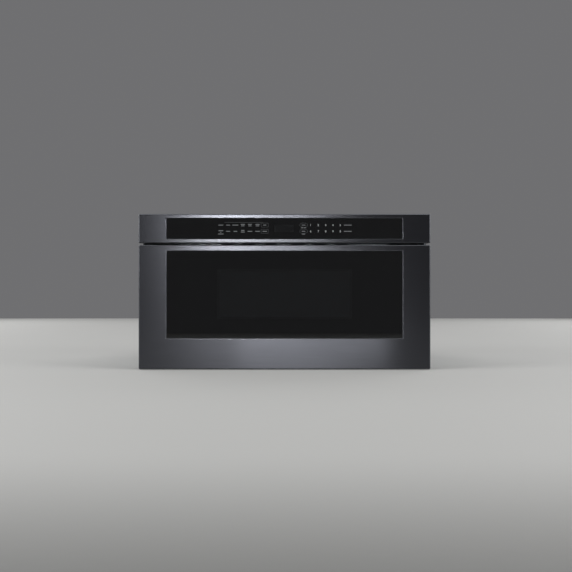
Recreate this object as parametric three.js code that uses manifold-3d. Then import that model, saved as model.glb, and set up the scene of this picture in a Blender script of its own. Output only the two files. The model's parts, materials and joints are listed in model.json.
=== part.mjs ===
/*
 * Built-in microwave drawer: a fixed oven behind a control panel, and a drawer that a
 * motor drives in and out on telescopic slides through a pair of racks and pinions.
 *
 * Millimetres, +Z up, +X to the right seen from the front, and the face looks along -Y.
 * The origin is at the middle of the cabinet's face line, at the height of the shelf that
 * the chassis stands on, so everything with y < 0 stands proud of the cabinet.
 */
import * as THREE from 'three';
import { mergeVertices } from 'three/addons/utils/BufferGeometryUtils.js';
import Module from 'manifold-3d';

const wasm = await Module();
wasm.setup();

// ---------------------------------------------------------------- driving dimensions

const sheet = 1.25;        // chassis, cavity and door steel
const seat = 0.25;         // gap between two pieces that are fastened face to face
const running = 0.3;       // gap round a turning or sliding piece
const overcut = 5;         // how far a cutting solid runs past what it cuts

const face = {
  width: 760.4,            // drawer front and control panel
  proud: 80,               // front skin ahead of the cabinet face
  drop: 11,                // drawer front below the shelf
  rise: 25,                // drawer front above the cavity's ceiling
  gap: 4.5,                // air gap between drawer front and control panel
  drawerDepth: 44,         // depth of the drawer front's side walls
  plateInset: 2.75,        // back plate inside the drawer front's rear edge
  plateFold: 10,           // forward fold round the back plate
  edge: 3,                 // rounding of the front edges
  corner: 3.5,             // corner radius seen from the front
  glassSide: 73,           // skin left and right of both glasses
  drawerGlassTop: 15.6,    // skin above the drawer glass
  drawerGlassBottom: 80.7, // skin below the drawer glass
  panelGlassEdge: 11.4,    // skin above and below the control glass
  glassRecess: 3,          // glass behind the skin's front
  flare: 2.6,              // bevel round both glass openings
  glassLap: 5,             // glass hidden behind the skin
  glass: 4,                // glass thickness
};

const panel = {
  height: 76.3,            // control panel
  lowerReturn: 24,         // depth of the panel's lower wall, short for the air inlet
  trayWall: 2,
  trayHalf: 300,
  trayEdge: 9,             // tray inside the panel's top and bottom
  trayFront: 8,            // tray behind the front skin
  trayDepth: 28,
  board: 1.6,
  boardBehindFace: 24,
  boardEdge: 4,            // board inside the tray's end walls
  boardRise: 3,            // board above and below the tray's long walls
  legs: 4,
  legPitch: 180,
  legHalfWidth: 6,
  legHalfHeight: 14,
  post: 4,                 // radius of the board's posts
  harnessHalf: 22,         // wiring slot through tray and frame
  harnessRise: [-17, -3],
  displayWidth: 56,
  displayHeight: 26,
  displayRise: 1.7,        // display centre above the panel's middle
  displayBezel: 3,
};

// Parts on the control board: span across, height of the body, span above the board's edge.
const boardParts = [
  { across: [-250, -214], height: 7, rise: [6, 34] },         // supply transformer
  { across: [120, 138], height: 6.5, rise: [8, 32] },         // two power relays
  { across: [150, 168], height: 6.5, rise: [8, 32] },
  { across: [-120, -70], height: 5, rise: [4, 12] },          // ribbon socket
  { across: [60, 80], height: 2.5, rise: [14, 34] },          // processor
  { across: [226, 262], height: 5, rise: [22, 30] },          // motor socket
];

const oven = {
  width: 436.5,            // inside the drawer
  height: 179,
  depth: 420,
  corner: 10,              // rear corners of the drawer box
  floorGlass: 4,
  floorAbove: 10.25,       // drawer box above the cavity floor
  sideClear: 12.5,         // drawer box to cavity wall
  topClear: 13,
  rearClear: 20,
  rim: 6,                  // rolled rim round the top of the drawer box
  boxFlange: [8, 6],       // drawer box flange beside and below it
  flange: 8,               // cavity's front flange
  floorEdge: 1.5,          // glass floor inside the drawer box
};

const bay = {
  under: 80,               // cavity floor above the shelf
  above: 83,               // chassis top above the cavity's ceiling
  behind: 185,             // back panel behind the cavity
  side: 26.2,              // chassis side inside the drawer front's side
  centre: 88,              // power parts' centre line behind the cavity
  baseFold: 16,            // folds of the base pan, top cover and back panel
  coverFold: 14,
  backFold: 12,
  beadHalf: 9,             // pressed beads: half width, depth and half length
  beadDepth: 3,
  baseBeadHalf: 190,
  coverBeadHalf: 240,
  slot: 5,                 // width of every air slot
  sideSlots: [60, 120],    // lower and upper end of the side slots
  sideSlotPitch: 13,
  backSlotHalf: 24,
  backSlotPitch: 12,
  inletAt: [-165, -225],   // slot columns of the back panel
  outletAt: [120, 180],
  outletZ: 290,
};

const frame = {
  proud: 32,               // sealing face ahead of the cabinet face
  side: 6.2,               // frame side inside the drawer front's side
  bottom: 6,               // frame below the shelf
  top: 4.3,                // frame below the control panel's top
  flange: 18,              // mounting flange, folded inwards on the cabinet face
  flangeEnd: 16,           // flange stops short of the frame's top and bottom
  screwHole: 2.75,
  screwAccess: 5,          // hole in the sealing face in line with each screw
  screwRows: 4,
  screwPitch: 100,
  slideGap: 3,             // slide slot round the arm and the rails
  latchGap: 3,             // latch slot beside the hook
  latchSlotHalf: 16,
};

const vents = {
  slotWidth: 38,           // three slots on each side of the middle
  slotPitch: 57,
  firstCentre: 37.3,
  endWidth: 97,            // and a long one near each end
  endCentre: 322,
  height: 13,
  aboveCavity: 23.5,
};

const choke = {
  reach: 16,               // sealing ring round the cavity opening
  groove: 15,              // width of the choke groove
  depth: 23,
  cover: 1.75,
  sealGap: 0.75,           // choke cover to frame
  flange: 5,
  clips: 4,                // cover clips in the groove, along each long side
  clipPitch: 120,
  clipReach: 9,
  clipHalf: [6, 5],
  windowWidth: 350,
  windowHeight: 131,
  windowLap: 7,            // screen over the window's edge
  windowCorner: 6,
  pane: 1,                 // clear pane on the oven side
};

const slide = {
  travel: 381,             // drawer travel
  stayIn: 76,              // rail left inside at full travel
  rise: 32,                // slide centre above the cavity floor
  fromChoke: 12,           // drawer arm outside the choke ring
  arm: 2,
  wall: 1.25,
  outerHalf: 22.75,
  outerDepth: 12.25,
  webGap: 1.5,             // middle member's web to the outer member's
  middleInset: [2, 8],     // middle member shorter in front and behind
  trackInset: 4,           // ball rows shorter than the middle member
  outerTrack: [3, 8],      // ball rows' places across the slide
  innerTrack: [2, 6],
  ball: 3.5,               // ball rows between two members
  innerDepth: 6.5,
  start: 3,                // rails behind the frame's sealing face
  bracket: 1.5,
  bracketFoot: 24,
  bracketTab: 14,
  bracketTop: 4,           // bracket above the fixed rail
  windows: 3,              // lightening windows of the bracket
  windowPitch: 110,
  windowShift: 20,
  windowBelow: 12,         // windows under the fixed rail
  bracketPast: 6,          // bracket behind the rail's end
  windowHalf: 38,
  windowLow: 22,
  windowRadius: 8,
  armFoot: 28,
  armTaper: 60,            // slope at the rear end of the arm
};

const drive = {
  module: 2,
  pinionTeeth: 14,
  pressureAngle: THREE.MathUtils.degToRad(20),
  addendum: 0.8,           // stub teeth, in modules
  dedendum: 1.05,
  backlash: 0.3,
  faceWidth: 9,
  rackHeight: 14,
  rackEnd: 18,             // rack past the pinion at both ends of travel
  axleRadius: 6,
  axleBehindFrame: 66,
  axleHeight: 50,
  axlePast: 6,             // axle outside its brackets
  flat: 1.2,               // depth of the flat on the axle
  gearModule: 1.5,
  gearTeeth: 32,
  motorTeeth: 14,
  gearWidth: 10,
  gearAt: -120,            // final gear's place along the axle
  meshAngle: THREE.MathUtils.degToRad(-15),
  hub: 11,
  hubWidth: 6,
  bush: 9,
  bushFlange: 3,
  motorShaft: 4,
  shaftIn: 4.5,            // output shaft inside the gearbox
  motorGap: 3.5,           // gearbox face beside the gear
  meshPast: 1,             // motor's pinion past the gear on both sides
  gearbox: 28,             // depth of the gearbox
  gearboxHalf: 30,
  gearboxAbove: 42,        // gearbox centre above the shelf
  gearboxBehind: 11,       // gearbox centre behind the motor's shaft
  can: 23,                 // radius and length of the motor can
  canLength: 45,
  footWidth: 50,
  footPlate: 2,
  footAhead: 17,           // foot in front of and behind the motor's shaft
  footBehind: 56,
  web: [3, 30],            // web's thickness and top
};

const feed = {
  domeRadius: 92,          // stirrer dome in the cavity's ceiling
  domeHeight: 21.75,
  domeBehindFrame: 212,
  stirrerRadius: 70,
  width: 84,               // waveguide
  height: 32,
  wall: 1,
  motorRadius: 24,
  motorHeight: 18,
  ear: [35, 5, 1.5],       // motor ear's reach, half width and thickness
  shaft: 2.5,
  shaftIn: 4,              // shaft inside its motor
  blade: [26, 1.2],        // stirrer blade's width and thickness
  bladePitch: THREE.MathUtils.degToRad(24),
  hub: 8,
  hubHalf: 6,
  port: 28,                // half of the square port into the dome
  past: 45,                // waveguide past the magnetron's axis
  before: 40,              // and before the stirrer's
  antennaClear: 3.5,
  foot: [24, 2],           // waveguide's foot: half width and thickness
  footInside: 18,          // and its place in from the cavity's back
  cover: 1.5,              // thickness of the stirrer cover, and its lap
  coverLap: 6,
};

const blower = {
  radius: 50,              // cooling fan
  tipGap: 3,
  blades: 7,
  plate: 112,              // fan wall to the left of the middle
  shroud: 25,
  halfWidth: 62,
  foot: 22,
  footHalf: 50,
  strapHalf: 10,
  hub: 12,
  hubHalf: 8,
  bladeIn: 2,              // blades inside the hub
  blade: [20, 1.5],        // blade's width and thickness
  bladePitch: THREE.MathUtils.degToRad(45),
  stackGap: 3,             // motor's laminated stack behind the strap
  stack: 15,               // its depth and half width
  stackHalf: 30,
  stackRise: [-26, 40],    // below and above the shaft
  coilHalf: 17,
  coilRise: [26, 48],
  coilCorner: 5,
  coilOver: 9,             // coil past the stack
  window: [24, 20, 31],    // stack's window: half width, bottom and top above the shaft
  bearing: 13,
  bearingDepth: 24,
  shaftIn: 7,
  ductHalf: 56,
  ductLap: 1,              // duct's mouth round the fin stack
  ductWall: 1.5,
};

const magnet = {
  halfX: 38,               // magnetron's yoke
  halfY: 36,
  height: 56,
  plate: 2.5,
  wall: 1.5,
  fins: 6,
  finPitch: 7.5,
  fin: 0.8,
  finInset: 3,
  anode: 17,
  topHalf: [40, 34],       // fixing plate
  filterHalf: [32, 26],    // filter box under the yoke
  filterDepth: 28,
  socket: [12, 10, 12],    // socket's reach, half width and height
  socketBelow: 8,          // socket's top under the yoke
  antenna: 9.5,            // antenna's collar and tip
  antennaTip: 8,
  antennaRise: [14, 24, 27],
};

const supply = {
  coreX: [70, 170],        // high-voltage transformer
  coreHalf: 32,
  coreHeight: 84,
  coreInset: 6,
  feet: 2.5,
  windowX: [16, 32],
  windowZ: [18, 68],
  windings: [[20, 42], [46, 66]],
  windingHalf: 30,
  windingProud: 2,         // winding past the core's front and back
  windingHole: 18,
  windingCorner: 9,
  canX: [190, 242],        // high-voltage capacitor
  canHalf: 17,
  canHeight: 96,
  canCorner: 16.5,
  tabPitch: 20,
  tabHalf: 3,
  tabHeight: 14,
  tabThick: 1,
  filterX: [-250, -190],   // line filter
  filterHalf: 40,
  filterFoot: 6,
  filterBoard: 2,          // thickness, and inset from the foot's edge
  ring: [16, 8, 12],       // ring choke: outer and inner radius, height
  ringAt: -14,
  boxHalf: [16, 8],        // its capacitor
  boxHeight: 18,
  boxAt: 18,
};

const latch = {
  fromArm: 4,              // hook outside the inner face of the drawer arm
  rise: 150,               // above the cavity floor
  thick: 6,
  reach: 8,                // hook's tip behind the cabinet face
  foot: [6, 8],            // foot inside and outside the hook
  footHalf: 18,
  holder: 5,               // switch holder outside the hook
  holderWall: 1.5,
  holderHalf: 34,
  holderEnd: 36,
  holderTab: 16,
  switchY: [2, 30],        // microswitch body
  switchRise: [15, 31],    // above and below the hook's axis
  plungerY: [10, 14],
  plungerRise: [12, 16],
  leverY: [22, 40],
  leverRise: [22, 23],
  switchWidth: 4,
};

const lamp = {
  behindFrame: 172,
  rise: 160,
  hole: 12,
  flange: 6,
  bulb: 8,
  bulbLength: 3,
  socket: [12, 22],        // socket's radius and length
  socketEnd: [9, 30],
  plate: 2,
  vents: 5,                // slots in the opposite wall
  ventPitch: 9,
  ventHalf: [2, 16],
};

const gland = {
  x: -225,
  z: 150,
  hole: 11,
  bore: 5,
  flange: 15,
  length: 3.25,
  inside: 8,
  round: 1.5,
};

// ---------------------------------------------------------------- derived levels

const faceHalf = face.width / 2;
const frontY = -face.proud;
const frameY = -frame.proud;
const boxHalf = oven.width / 2 + sheet;
const cavityHalf = boxHalf + oven.sideClear;
const boxBottom = bay.under + oven.floorAbove;
const floorTop = boxBottom + sheet + seat + oven.floorGlass + seat;
const boxTop = floorTop + oven.height;
const cavityTop = boxTop + oven.topClear;
const doorY = frameY - choke.sealGap - choke.cover - seat;    // door's oven-side face
const boxFront = doorY + seat;
const boxBack = doorY + oven.depth + sheet;
const cavityBack = boxBack + oven.rearClear;
const drawerBottom = -face.drop;
const drawerTop = cavityTop + face.rise;
const panelBottom = drawerTop + face.gap;
const panelTop = panelBottom + panel.height;
const chassisHalf = faceHalf - bay.side;
const chassisTop = cavityTop + bay.above;
const backY = cavityBack + bay.behind;
const frameHalf = faceHalf - frame.side;
const frameTop = panelTop - frame.top;
const bayY = cavityBack + bay.centre;
const chokeHalf = cavityHalf + choke.reach;
const chokeBottom = bay.under - choke.reach;
const chokeTop = cavityTop + choke.reach;
const armX = chokeHalf + slide.fromChoke;
const railX = armX + slide.arm + seat;
const bracketX = railX + slide.outerDepth + seat;
const slideZ = bay.under + slide.rise;
const railLength = slide.travel + slide.stayIn;
const axleY = frameY + drive.axleBehindFrame;
const axleZ = drive.axleHeight;
const pitchRadius = drive.module * drive.pinionTeeth / 2;
const rackZ = axleZ + pitchRadius;
const rackWidth = drive.faceWidth + 1;
const glassHalf = faceHalf - face.glassSide;
const domeY = frameY + feed.domeBehindFrame;
const domeTop = cavityTop + feed.domeHeight;
const guideBottom = domeTop + seat + sheet;
const guideTop = guideBottom + feed.height;
const standOn = sheet + seat;                                 // top of the base pan
const magnetTop = guideBottom - running;
const yokeTop = magnetTop - magnet.plate;
const yokeBottom = yokeTop - magnet.height;
const fanZ = (yokeTop + yokeBottom) / 2;
const latchX = armX + latch.fromArm;
const latchZ = bay.under + latch.rise;
const lampY = frameY + lamp.behindFrame;
const lampZ = bay.under + lamp.rise;
const plateBack = frontY + face.drawerDepth - face.plateInset;
const plateY = [plateBack - sheet, plateBack];
const footY = plateBack + seat;                               // feet of the arms and hooks
const rackSpan = [axleY - drive.rackEnd, axleY + slide.travel + drive.rackEnd];

// ---------------------------------------------------------------- finishes

const finishes = {
  blackSteel: new THREE.MeshStandardMaterial({ color: 0x3a3c40, roughness: 0.34, metalness: 0.9 }),
  blackGlass: new THREE.MeshStandardMaterial({ color: 0x0b0c0e, roughness: 0.06, metalness: 0.1 }),
  zinc: new THREE.MeshStandardMaterial({ color: 0xa9adb0, roughness: 0.45, metalness: 0.85 }),
  blackPaint: new THREE.MeshStandardMaterial({ color: 0x1b1c1e, roughness: 0.55, metalness: 0.2 }),
  greyEnamel: new THREE.MeshStandardMaterial({ color: 0x8d9093, roughness: 0.4, metalness: 0.1 }),
  stainless: new THREE.MeshStandardMaterial({ color: 0xb4b6b8, roughness: 0.3, metalness: 0.95 }),
  blackPlastic: new THREE.MeshStandardMaterial({ color: 0x17181a, roughness: 0.6, metalness: 0 }),
  whitePlastic: new THREE.MeshStandardMaterial({ color: 0xd9d9d4, roughness: 0.5, metalness: 0 }),
  mica: new THREE.MeshStandardMaterial({ color: 0xb9b09a, roughness: 0.6, metalness: 0 }),
  board: new THREE.MeshStandardMaterial({ color: 0x2f5d3a, roughness: 0.6, metalness: 0 }),
  aluminium: new THREE.MeshStandardMaterial({ color: 0xc3c6c8, roughness: 0.4, metalness: 0.9 }),
  lamination: new THREE.MeshStandardMaterial({ color: 0x54575c, roughness: 0.5, metalness: 0.6 }),
  glass: new THREE.MeshStandardMaterial({ color: 0xe8ecec, roughness: 0.05, metalness: 0 }),
  floorGlass: new THREE.MeshStandardMaterial({ color: 0xd6d3cc, roughness: 0.25, metalness: 0 }),
};

// ---------------------------------------------------------------- solids and outlines

/** Turns a closed three.js geometry into a solid that can be joined and cut. */
function solid(geometry) {
  const bare = geometry.clone();
  bare.deleteAttribute('normal');
  bare.deleteAttribute('uv');
  const merged = mergeVertices(bare, 1e-4);
  return new wasm.Manifold(new wasm.Mesh({
    numProp: 3,
    vertProperties: new Float32Array(merged.attributes.position.array),
    triVerts: new Uint32Array(merged.index.array),
  }));
}

/** A named mesh of one solid. */
function piece(name, body, finish) {
  const { vertProperties, triVerts } = body.getMesh();
  const geometry = new THREE.BufferGeometry();
  geometry.setAttribute('position', new THREE.BufferAttribute(vertProperties, 3));
  geometry.setIndex(new THREE.BufferAttribute(triVerts, 1));
  geometry.computeVertexNormals();
  const mesh = new THREE.Mesh(geometry, finishes[finish]);
  mesh.name = name;
  return mesh;
}

/** Moves and turns a mesh or group to its place. */
function placed(object, position, rotation = [0, 0, 0]) {
  object.position.set(...position);
  object.rotation.set(...rotation);
  return object;
}

/** A group of meshes and groups. */
function assembly(...children) {
  const group = new THREE.Group();
  group.add(...children);
  return group;
}

/** Joins any number of solids. */
function join(...bodies) {
  return bodies.reduce((whole, body) => whole.add(body));
}

/** Cuts every later solid out of the first. */
function cut(body, ...tools) {
  return tools.reduce((rest, tool) => rest.subtract(tool), body);
}

/** A rectangular block between two planes on each axis, given in either order. */
function block(x, y, z) {
  const spans = [x, y, z];
  const size = spans.map(([a, b]) => Math.abs(b - a));
  const middle = spans.map(([a, b]) => (a + b) / 2);
  return solid(new THREE.BoxGeometry(...size).translate(...middle));
}

/** A straight-sided loft along one axis (0 = X, 1 = Y) between two rectangles. */
function loft(axis, near, far) {
  const geometry = new THREE.BoxGeometry(1, 1, 1);
  const position = geometry.attributes.position;
  const [first, second] = [0, 1, 2].filter((other) => other !== axis);
  for (let i = 0; i < position.count; i += 1) {
    const corner = [position.getX(i), position.getY(i), position.getZ(i)];
    const end = corner[axis] < 0 ? near : far;
    corner[first] = end.first[corner[first] < 0 ? 0 : 1];
    corner[second] = end.second[corner[second] < 0 ? 0 : 1];
    corner[axis] = end.at;
    position.setXYZ(i, ...corner);
  }
  return solid(geometry);
}

/** A prism of a plan outline (x, y) standing between two heights. */
function upright(shape, z0, z1, curveSegments = 6) {
  const settings = { depth: z1 - z0, bevelEnabled: false, curveSegments };
  return solid(new THREE.ExtrudeGeometry(shape, settings).translate(0, 0, z0));
}

/** A prism of a front outline (x, z) between two depths, y0 nearer the front. */
function facing(shape, y0, y1, curveSegments = 6) {
  const settings = { depth: y1 - y0, bevelEnabled: false, curveSegments };
  const geometry = new THREE.ExtrudeGeometry(shape, settings);
  return solid(geometry.rotateX(Math.PI / 2).translate(0, y1, 0));
}

/** A prism of a side outline (y, z) between two places across the unit. */
function across(shape, x0, x1, curveSegments = 6) {
  const settings = { depth: Math.abs(x1 - x0), bevelEnabled: false, curveSegments };
  const geometry = new THREE.ExtrudeGeometry(shape, settings);
  geometry.rotateX(Math.PI / 2).rotateZ(Math.PI / 2);
  return solid(geometry.translate(Math.min(x0, x1), 0, 0));
}

/** A circle outline. */
function disc(u, v, radius) {
  return new THREE.Shape().absarc(u, v, radius, 0, Math.PI * 2);
}

/** A rectangle outline with its own radius at the low and high corners of v. */
function rounded(u0, u1, v0, v1, low, high = low) {
  const shape = new THREE.Shape();
  shape.moveTo(u0 + low, v0);
  shape.lineTo(u1 - low, v0);
  if (low > 0) shape.absarc(u1 - low, v0 + low, low, -Math.PI / 2, 0);
  shape.lineTo(u1, v1 - high);
  if (high > 0) shape.absarc(u1 - high, v1 - high, high, 0, Math.PI / 2);
  shape.lineTo(u0 + high, v1);
  if (high > 0) shape.absarc(u0 + high, v1 - high, high, Math.PI / 2, Math.PI);
  shape.lineTo(u0, v0 + low);
  if (low > 0) shape.absarc(u0 + low, v0 + low, low, Math.PI, Math.PI * 1.5);
  return shape;
}

/** A straight-sided outline through the given points. */
function outline(points) {
  return new THREE.Shape(points.map(([u, v]) => new THREE.Vector2(u, v)));
}

/** A revolved solid about an upright axis through base; the profile is (radius, height). */
function turned(profile, segments, base = [0, 0, 0]) {
  const points = profile.map(([radius, height]) => new THREE.Vector2(radius, height));
  return solid(new THREE.LatheGeometry(points, segments).rotateX(Math.PI / 2).translate(...base));
}

/** The same span on the left (-1) or the right (+1) of the unit. */
function sideways(side, near, far) {
  return [side * near, side * far];
}

/** Suffix of a handed piece's name. */
function hand(side) {
  return side < 0 ? 'left' : 'right';
}

/** Evenly spaced values about a centre. */
function spaced(count, pitch, centre = 0) {
  return Array.from({ length: count }, (_, i) => centre + (i - (count - 1) / 2) * pitch);
}

/** A row of equal slots through a plate, as blocks; spans gives each slot's three spans. */
function slots(centres, spans) {
  return centres.map((centre) => block(...spans(centre)));
}

// ---------------------------------------------------------------- front shells

/** A folded front skin with rounded edges and a bevelled opening for glass. */
function frontShell({ bottom, top, glass: [glassLow, glassHigh], depth }) {
  const shellBack = frontY + depth;
  const skinBack = frontY + face.glassRecess;
  const shape = rounded(-faceHalf, faceHalf, bottom, top, face.corner);
  const body = new THREE.ExtrudeGeometry(shape, {
    depth,
    bevelThickness: face.edge,
    bevelSize: face.edge,
    bevelOffset: -face.edge,
    bevelSegments: 3,
    curveSegments: 3,
  });
  body.rotateX(Math.PI / 2).translate(0, shellBack + face.edge, 0);
  const hollow = block(
    [-faceHalf + sheet, faceHalf - sheet],
    [skinBack, shellBack + overcut + 2 * face.edge],
    [bottom + sheet, top - sheet],
  );
  const behind = block(
    [-faceHalf - overcut, faceHalf + overcut],
    [shellBack, shellBack + overcut + 2 * face.edge],
    [bottom - overcut, top + overcut],
  );
  const openingAt = (y) => {
    const grow = face.flare * (skinBack - y) / face.glassRecess;
    return {
      at: y,
      first: [-glassHalf - grow, glassHalf + grow],
      second: [glassLow - grow, glassHigh + grow],
    };
  };
  const opening = loft(1, openingAt(frontY - 1), openingAt(skinBack + 1));
  return cut(solid(body), hollow, behind, opening);
}

const drawerGlass = [drawerBottom + face.drawerGlassBottom, drawerTop - face.drawerGlassTop];
const panelGlass = [panelBottom + face.panelGlassEdge, panelTop - face.panelGlassEdge];
const glassY = frontY + face.glassRecess + seat;

/** The glass that lies behind a front shell's opening. */
function frontGlass([low, high]) {
  const half = glassHalf + face.glassLap;
  const shape = rounded(-half, half, low - face.glassLap, high + face.glassLap, face.corner);
  return facing(shape, glassY, glassY + face.glass, 2);
}

// ---------------------------------------------------------------- control panel

const boardY = frontY + panel.boardBehindFace;
const panelMiddle = (panelBottom + panelTop) / 2;
const trayBottom = panelBottom + panel.trayEdge;
const trayTop = panelTop - panel.trayEdge + sheet + seat;
const trayBack = frontY + panel.trayFront + panel.trayDepth;
const harnessZ = panel.harnessRise.map((rise) => panelMiddle + rise);

/** Control panel skin: its lower wall stops short, so air reaches the frame's vents. */
function controlTrim() {
  const shell = frontShell({
    bottom: panelBottom,
    top: panelTop,
    glass: panelGlass,
    depth: face.proud - frame.proud - seat,
  });
  const inlet = block(
    [-faceHalf + sheet, faceHalf - sheet],
    [frontY + panel.lowerReturn, frameY + overcut],
    [panelBottom - overcut, panelBottom + 2 * sheet],
  );
  return cut(shell, inlet);
}

/** Moulded tray that carries the control board, on legs that reach the front frame. */
function controlTray() {
  const { trayHalf, trayWall } = panel;
  const trayY = glassY + face.glass + seat + trayWall;
  const outer = block([-trayHalf, trayHalf], [trayY, trayBack], [trayBottom, trayTop]);
  const inner = block(
    [-trayHalf + trayWall, trayHalf - trayWall],
    [trayY - overcut, trayBack - trayWall],
    [trayBottom + trayWall, trayTop - trayWall],
  );
  const harness = block(
    [-panel.harnessHalf, panel.harnessHalf],
    [trayBack - 2 * trayWall, trayBack + overcut],
    harnessZ,
  );
  const places = spaced(panel.legs, panel.legPitch);
  const legs = places.map((x) => block(
    [x - panel.legHalfWidth, x + panel.legHalfWidth],
    [trayBack - trayWall / 2, frameY - seat],
    [panelMiddle - panel.legHalfHeight, panelMiddle + panel.legHalfHeight],
  ));
  const posts = places.map((x) => facing(
    disc(x, panelMiddle, panel.post),
    boardY + panel.board + seat,
    trayBack - trayWall / 2,
  ));
  return join(cut(outer, inner, harness), ...legs, ...posts);
}

/** Control board with its transformer, relays, processor and sockets. */
function controlBoard() {
  const back = boardY + panel.board;
  const half = panel.trayHalf - panel.trayWall - panel.boardEdge;
  const low = trayBottom + panel.trayWall + panel.boardRise;
  const high = trayTop - panel.trayWall - panel.boardRise;
  const bodies = boardParts.map((part) => block(
    part.across,
    [back - panel.board / 2, back + part.height],
    part.rise.map((rise) => low + rise),
  ));
  return join(block([-half, half], [boardY, back], [low, high]), ...bodies);
}

/** Numeric display behind the control glass. */
function displayModule() {
  const z = panelMiddle + panel.displayRise;
  const y0 = glassY + face.glass + seat;
  const half = panel.displayWidth / 2;
  const rise = panel.displayHeight / 2;
  const can = block([-half, half], [y0, boardY - seat], [z - rise, z + rise]);
  const bezel = panel.displayBezel;
  const window = block(
    [-half + bezel, half - bezel],
    [y0 - overcut, y0 + panel.board / 2],
    [z - rise + bezel, z + rise - bezel],
  );
  return cut(can, window);
}

// ---------------------------------------------------------------- chassis

const panBack = backY - sheet - seat;
const panFront = frameY + sheet + seat;

/** Pressed beads across a sheet at z: each a rib, rising or falling by height, and its hollow. */
function beads(centres, halfLength, z, height) {
  const up = Math.sign(height);
  const half = bay.beadHalf;
  return centres.map((y) => ({
    rib: block([-halfLength, halfLength], [y - half, y + half], [z, z + height]),
    hollow: block(
      [-halfLength + sheet, halfLength - sheet],
      [y - half + sheet, y + half - sheet],
      [z - up * overcut, z + height - up * sheet],
    ),
  }));
}

/** A sheet with its folds and beads. */
function beaded(plate, folds, ribs) {
  const whole = join(plate, ...folds, ...ribs.map(({ rib }) => rib));
  return cut(whole, ...ribs.map(({ hollow }) => hollow));
}

const insideHalf = chassisHalf - sheet - seat;
const panelHeight = [0, chassisTop - sheet - seat];

/** Base pan with folded sides and pressed beads. */
function basePan() {
  const rise = [0, bay.baseFold];
  const plate = block([-insideHalf, insideHalf], [panFront, panBack], [0, sheet]);
  const folds = [-1, 1].map((side) => block(
    sideways(side, insideHalf - sheet, insideHalf),
    [panFront, panBack],
    rise,
  ));
  const rear = block([-insideHalf, insideHalf], [panBack - sheet, panBack], rise);
  const centres = spaced(3, 80, axleY + 210);
  return beaded(plate, [rear, ...folds], beads(centres, bay.baseBeadHalf, sheet, bay.beadDepth));
}

/** Chassis side with a field of air slots beside the power parts. */
function sidePanel(side) {
  const plate = block(sideways(side, chassisHalf - sheet, chassisHalf), [panFront, panBack], panelHeight);
  const cuts = slots(spaced(7, bay.sideSlotPitch, bayY), (y) => [
    sideways(side, chassisHalf - overcut, chassisHalf + overcut),
    [y - bay.slot / 2, y + bay.slot / 2],
    bay.sideSlots,
  ]);
  return cut(plate, ...cuts);
}

/** Back panel with slot fields for the fan's inlet and the warm air, and the cord's hole. */
function backPanel() {
  const plate = block([-chassisHalf, chassisHalf], [backY - sheet, backY], panelHeight);
  const folds = [-1, 1].map((side) => block(
    sideways(side, insideHalf - sheet, insideHalf),
    [backY - bay.backFold, backY],
    [2 * bay.backFold, chassisTop - 2 * bay.backFold],
  ));
  const span = [backY - overcut, backY + overcut];
  const field = (count, middle, x) => slots(spaced(count, bay.backSlotPitch, middle), (z) => [
    [x - bay.backSlotHalf, x + bay.backSlotHalf],
    span,
    [z - bay.slot / 2, z + bay.slot / 2],
  ]);
  const inlet = bay.inletAt.flatMap((x) => field(9, fanZ, x));
  const outlet = bay.outletAt.flatMap((x) => field(6, bay.outletZ, x));
  const cordHole = facing(disc(gland.x, gland.z, gland.hole), ...span, 10);
  return cut(join(plate, ...folds), ...inlet, ...outlet, cordHole);
}

/** Top cover with folded sides and pressed beads; its rear end takes the anti-tip block. */
function topCover() {
  const plate = block([-chassisHalf, chassisHalf], [panFront, panBack], [chassisTop - sheet, chassisTop]);
  const folds = [-1, 1].map((side) => block(
    sideways(side, insideHalf - sheet, insideHalf),
    [panFront, panBack],
    [chassisTop - bay.coverFold, chassisTop],
  ));
  const centres = [axleY + 26, axleY + 266];
  return beaded(plate, folds, beads(centres, bay.coverBeadHalf, chassisTop - sheet, -bay.beadDepth));
}

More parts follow.
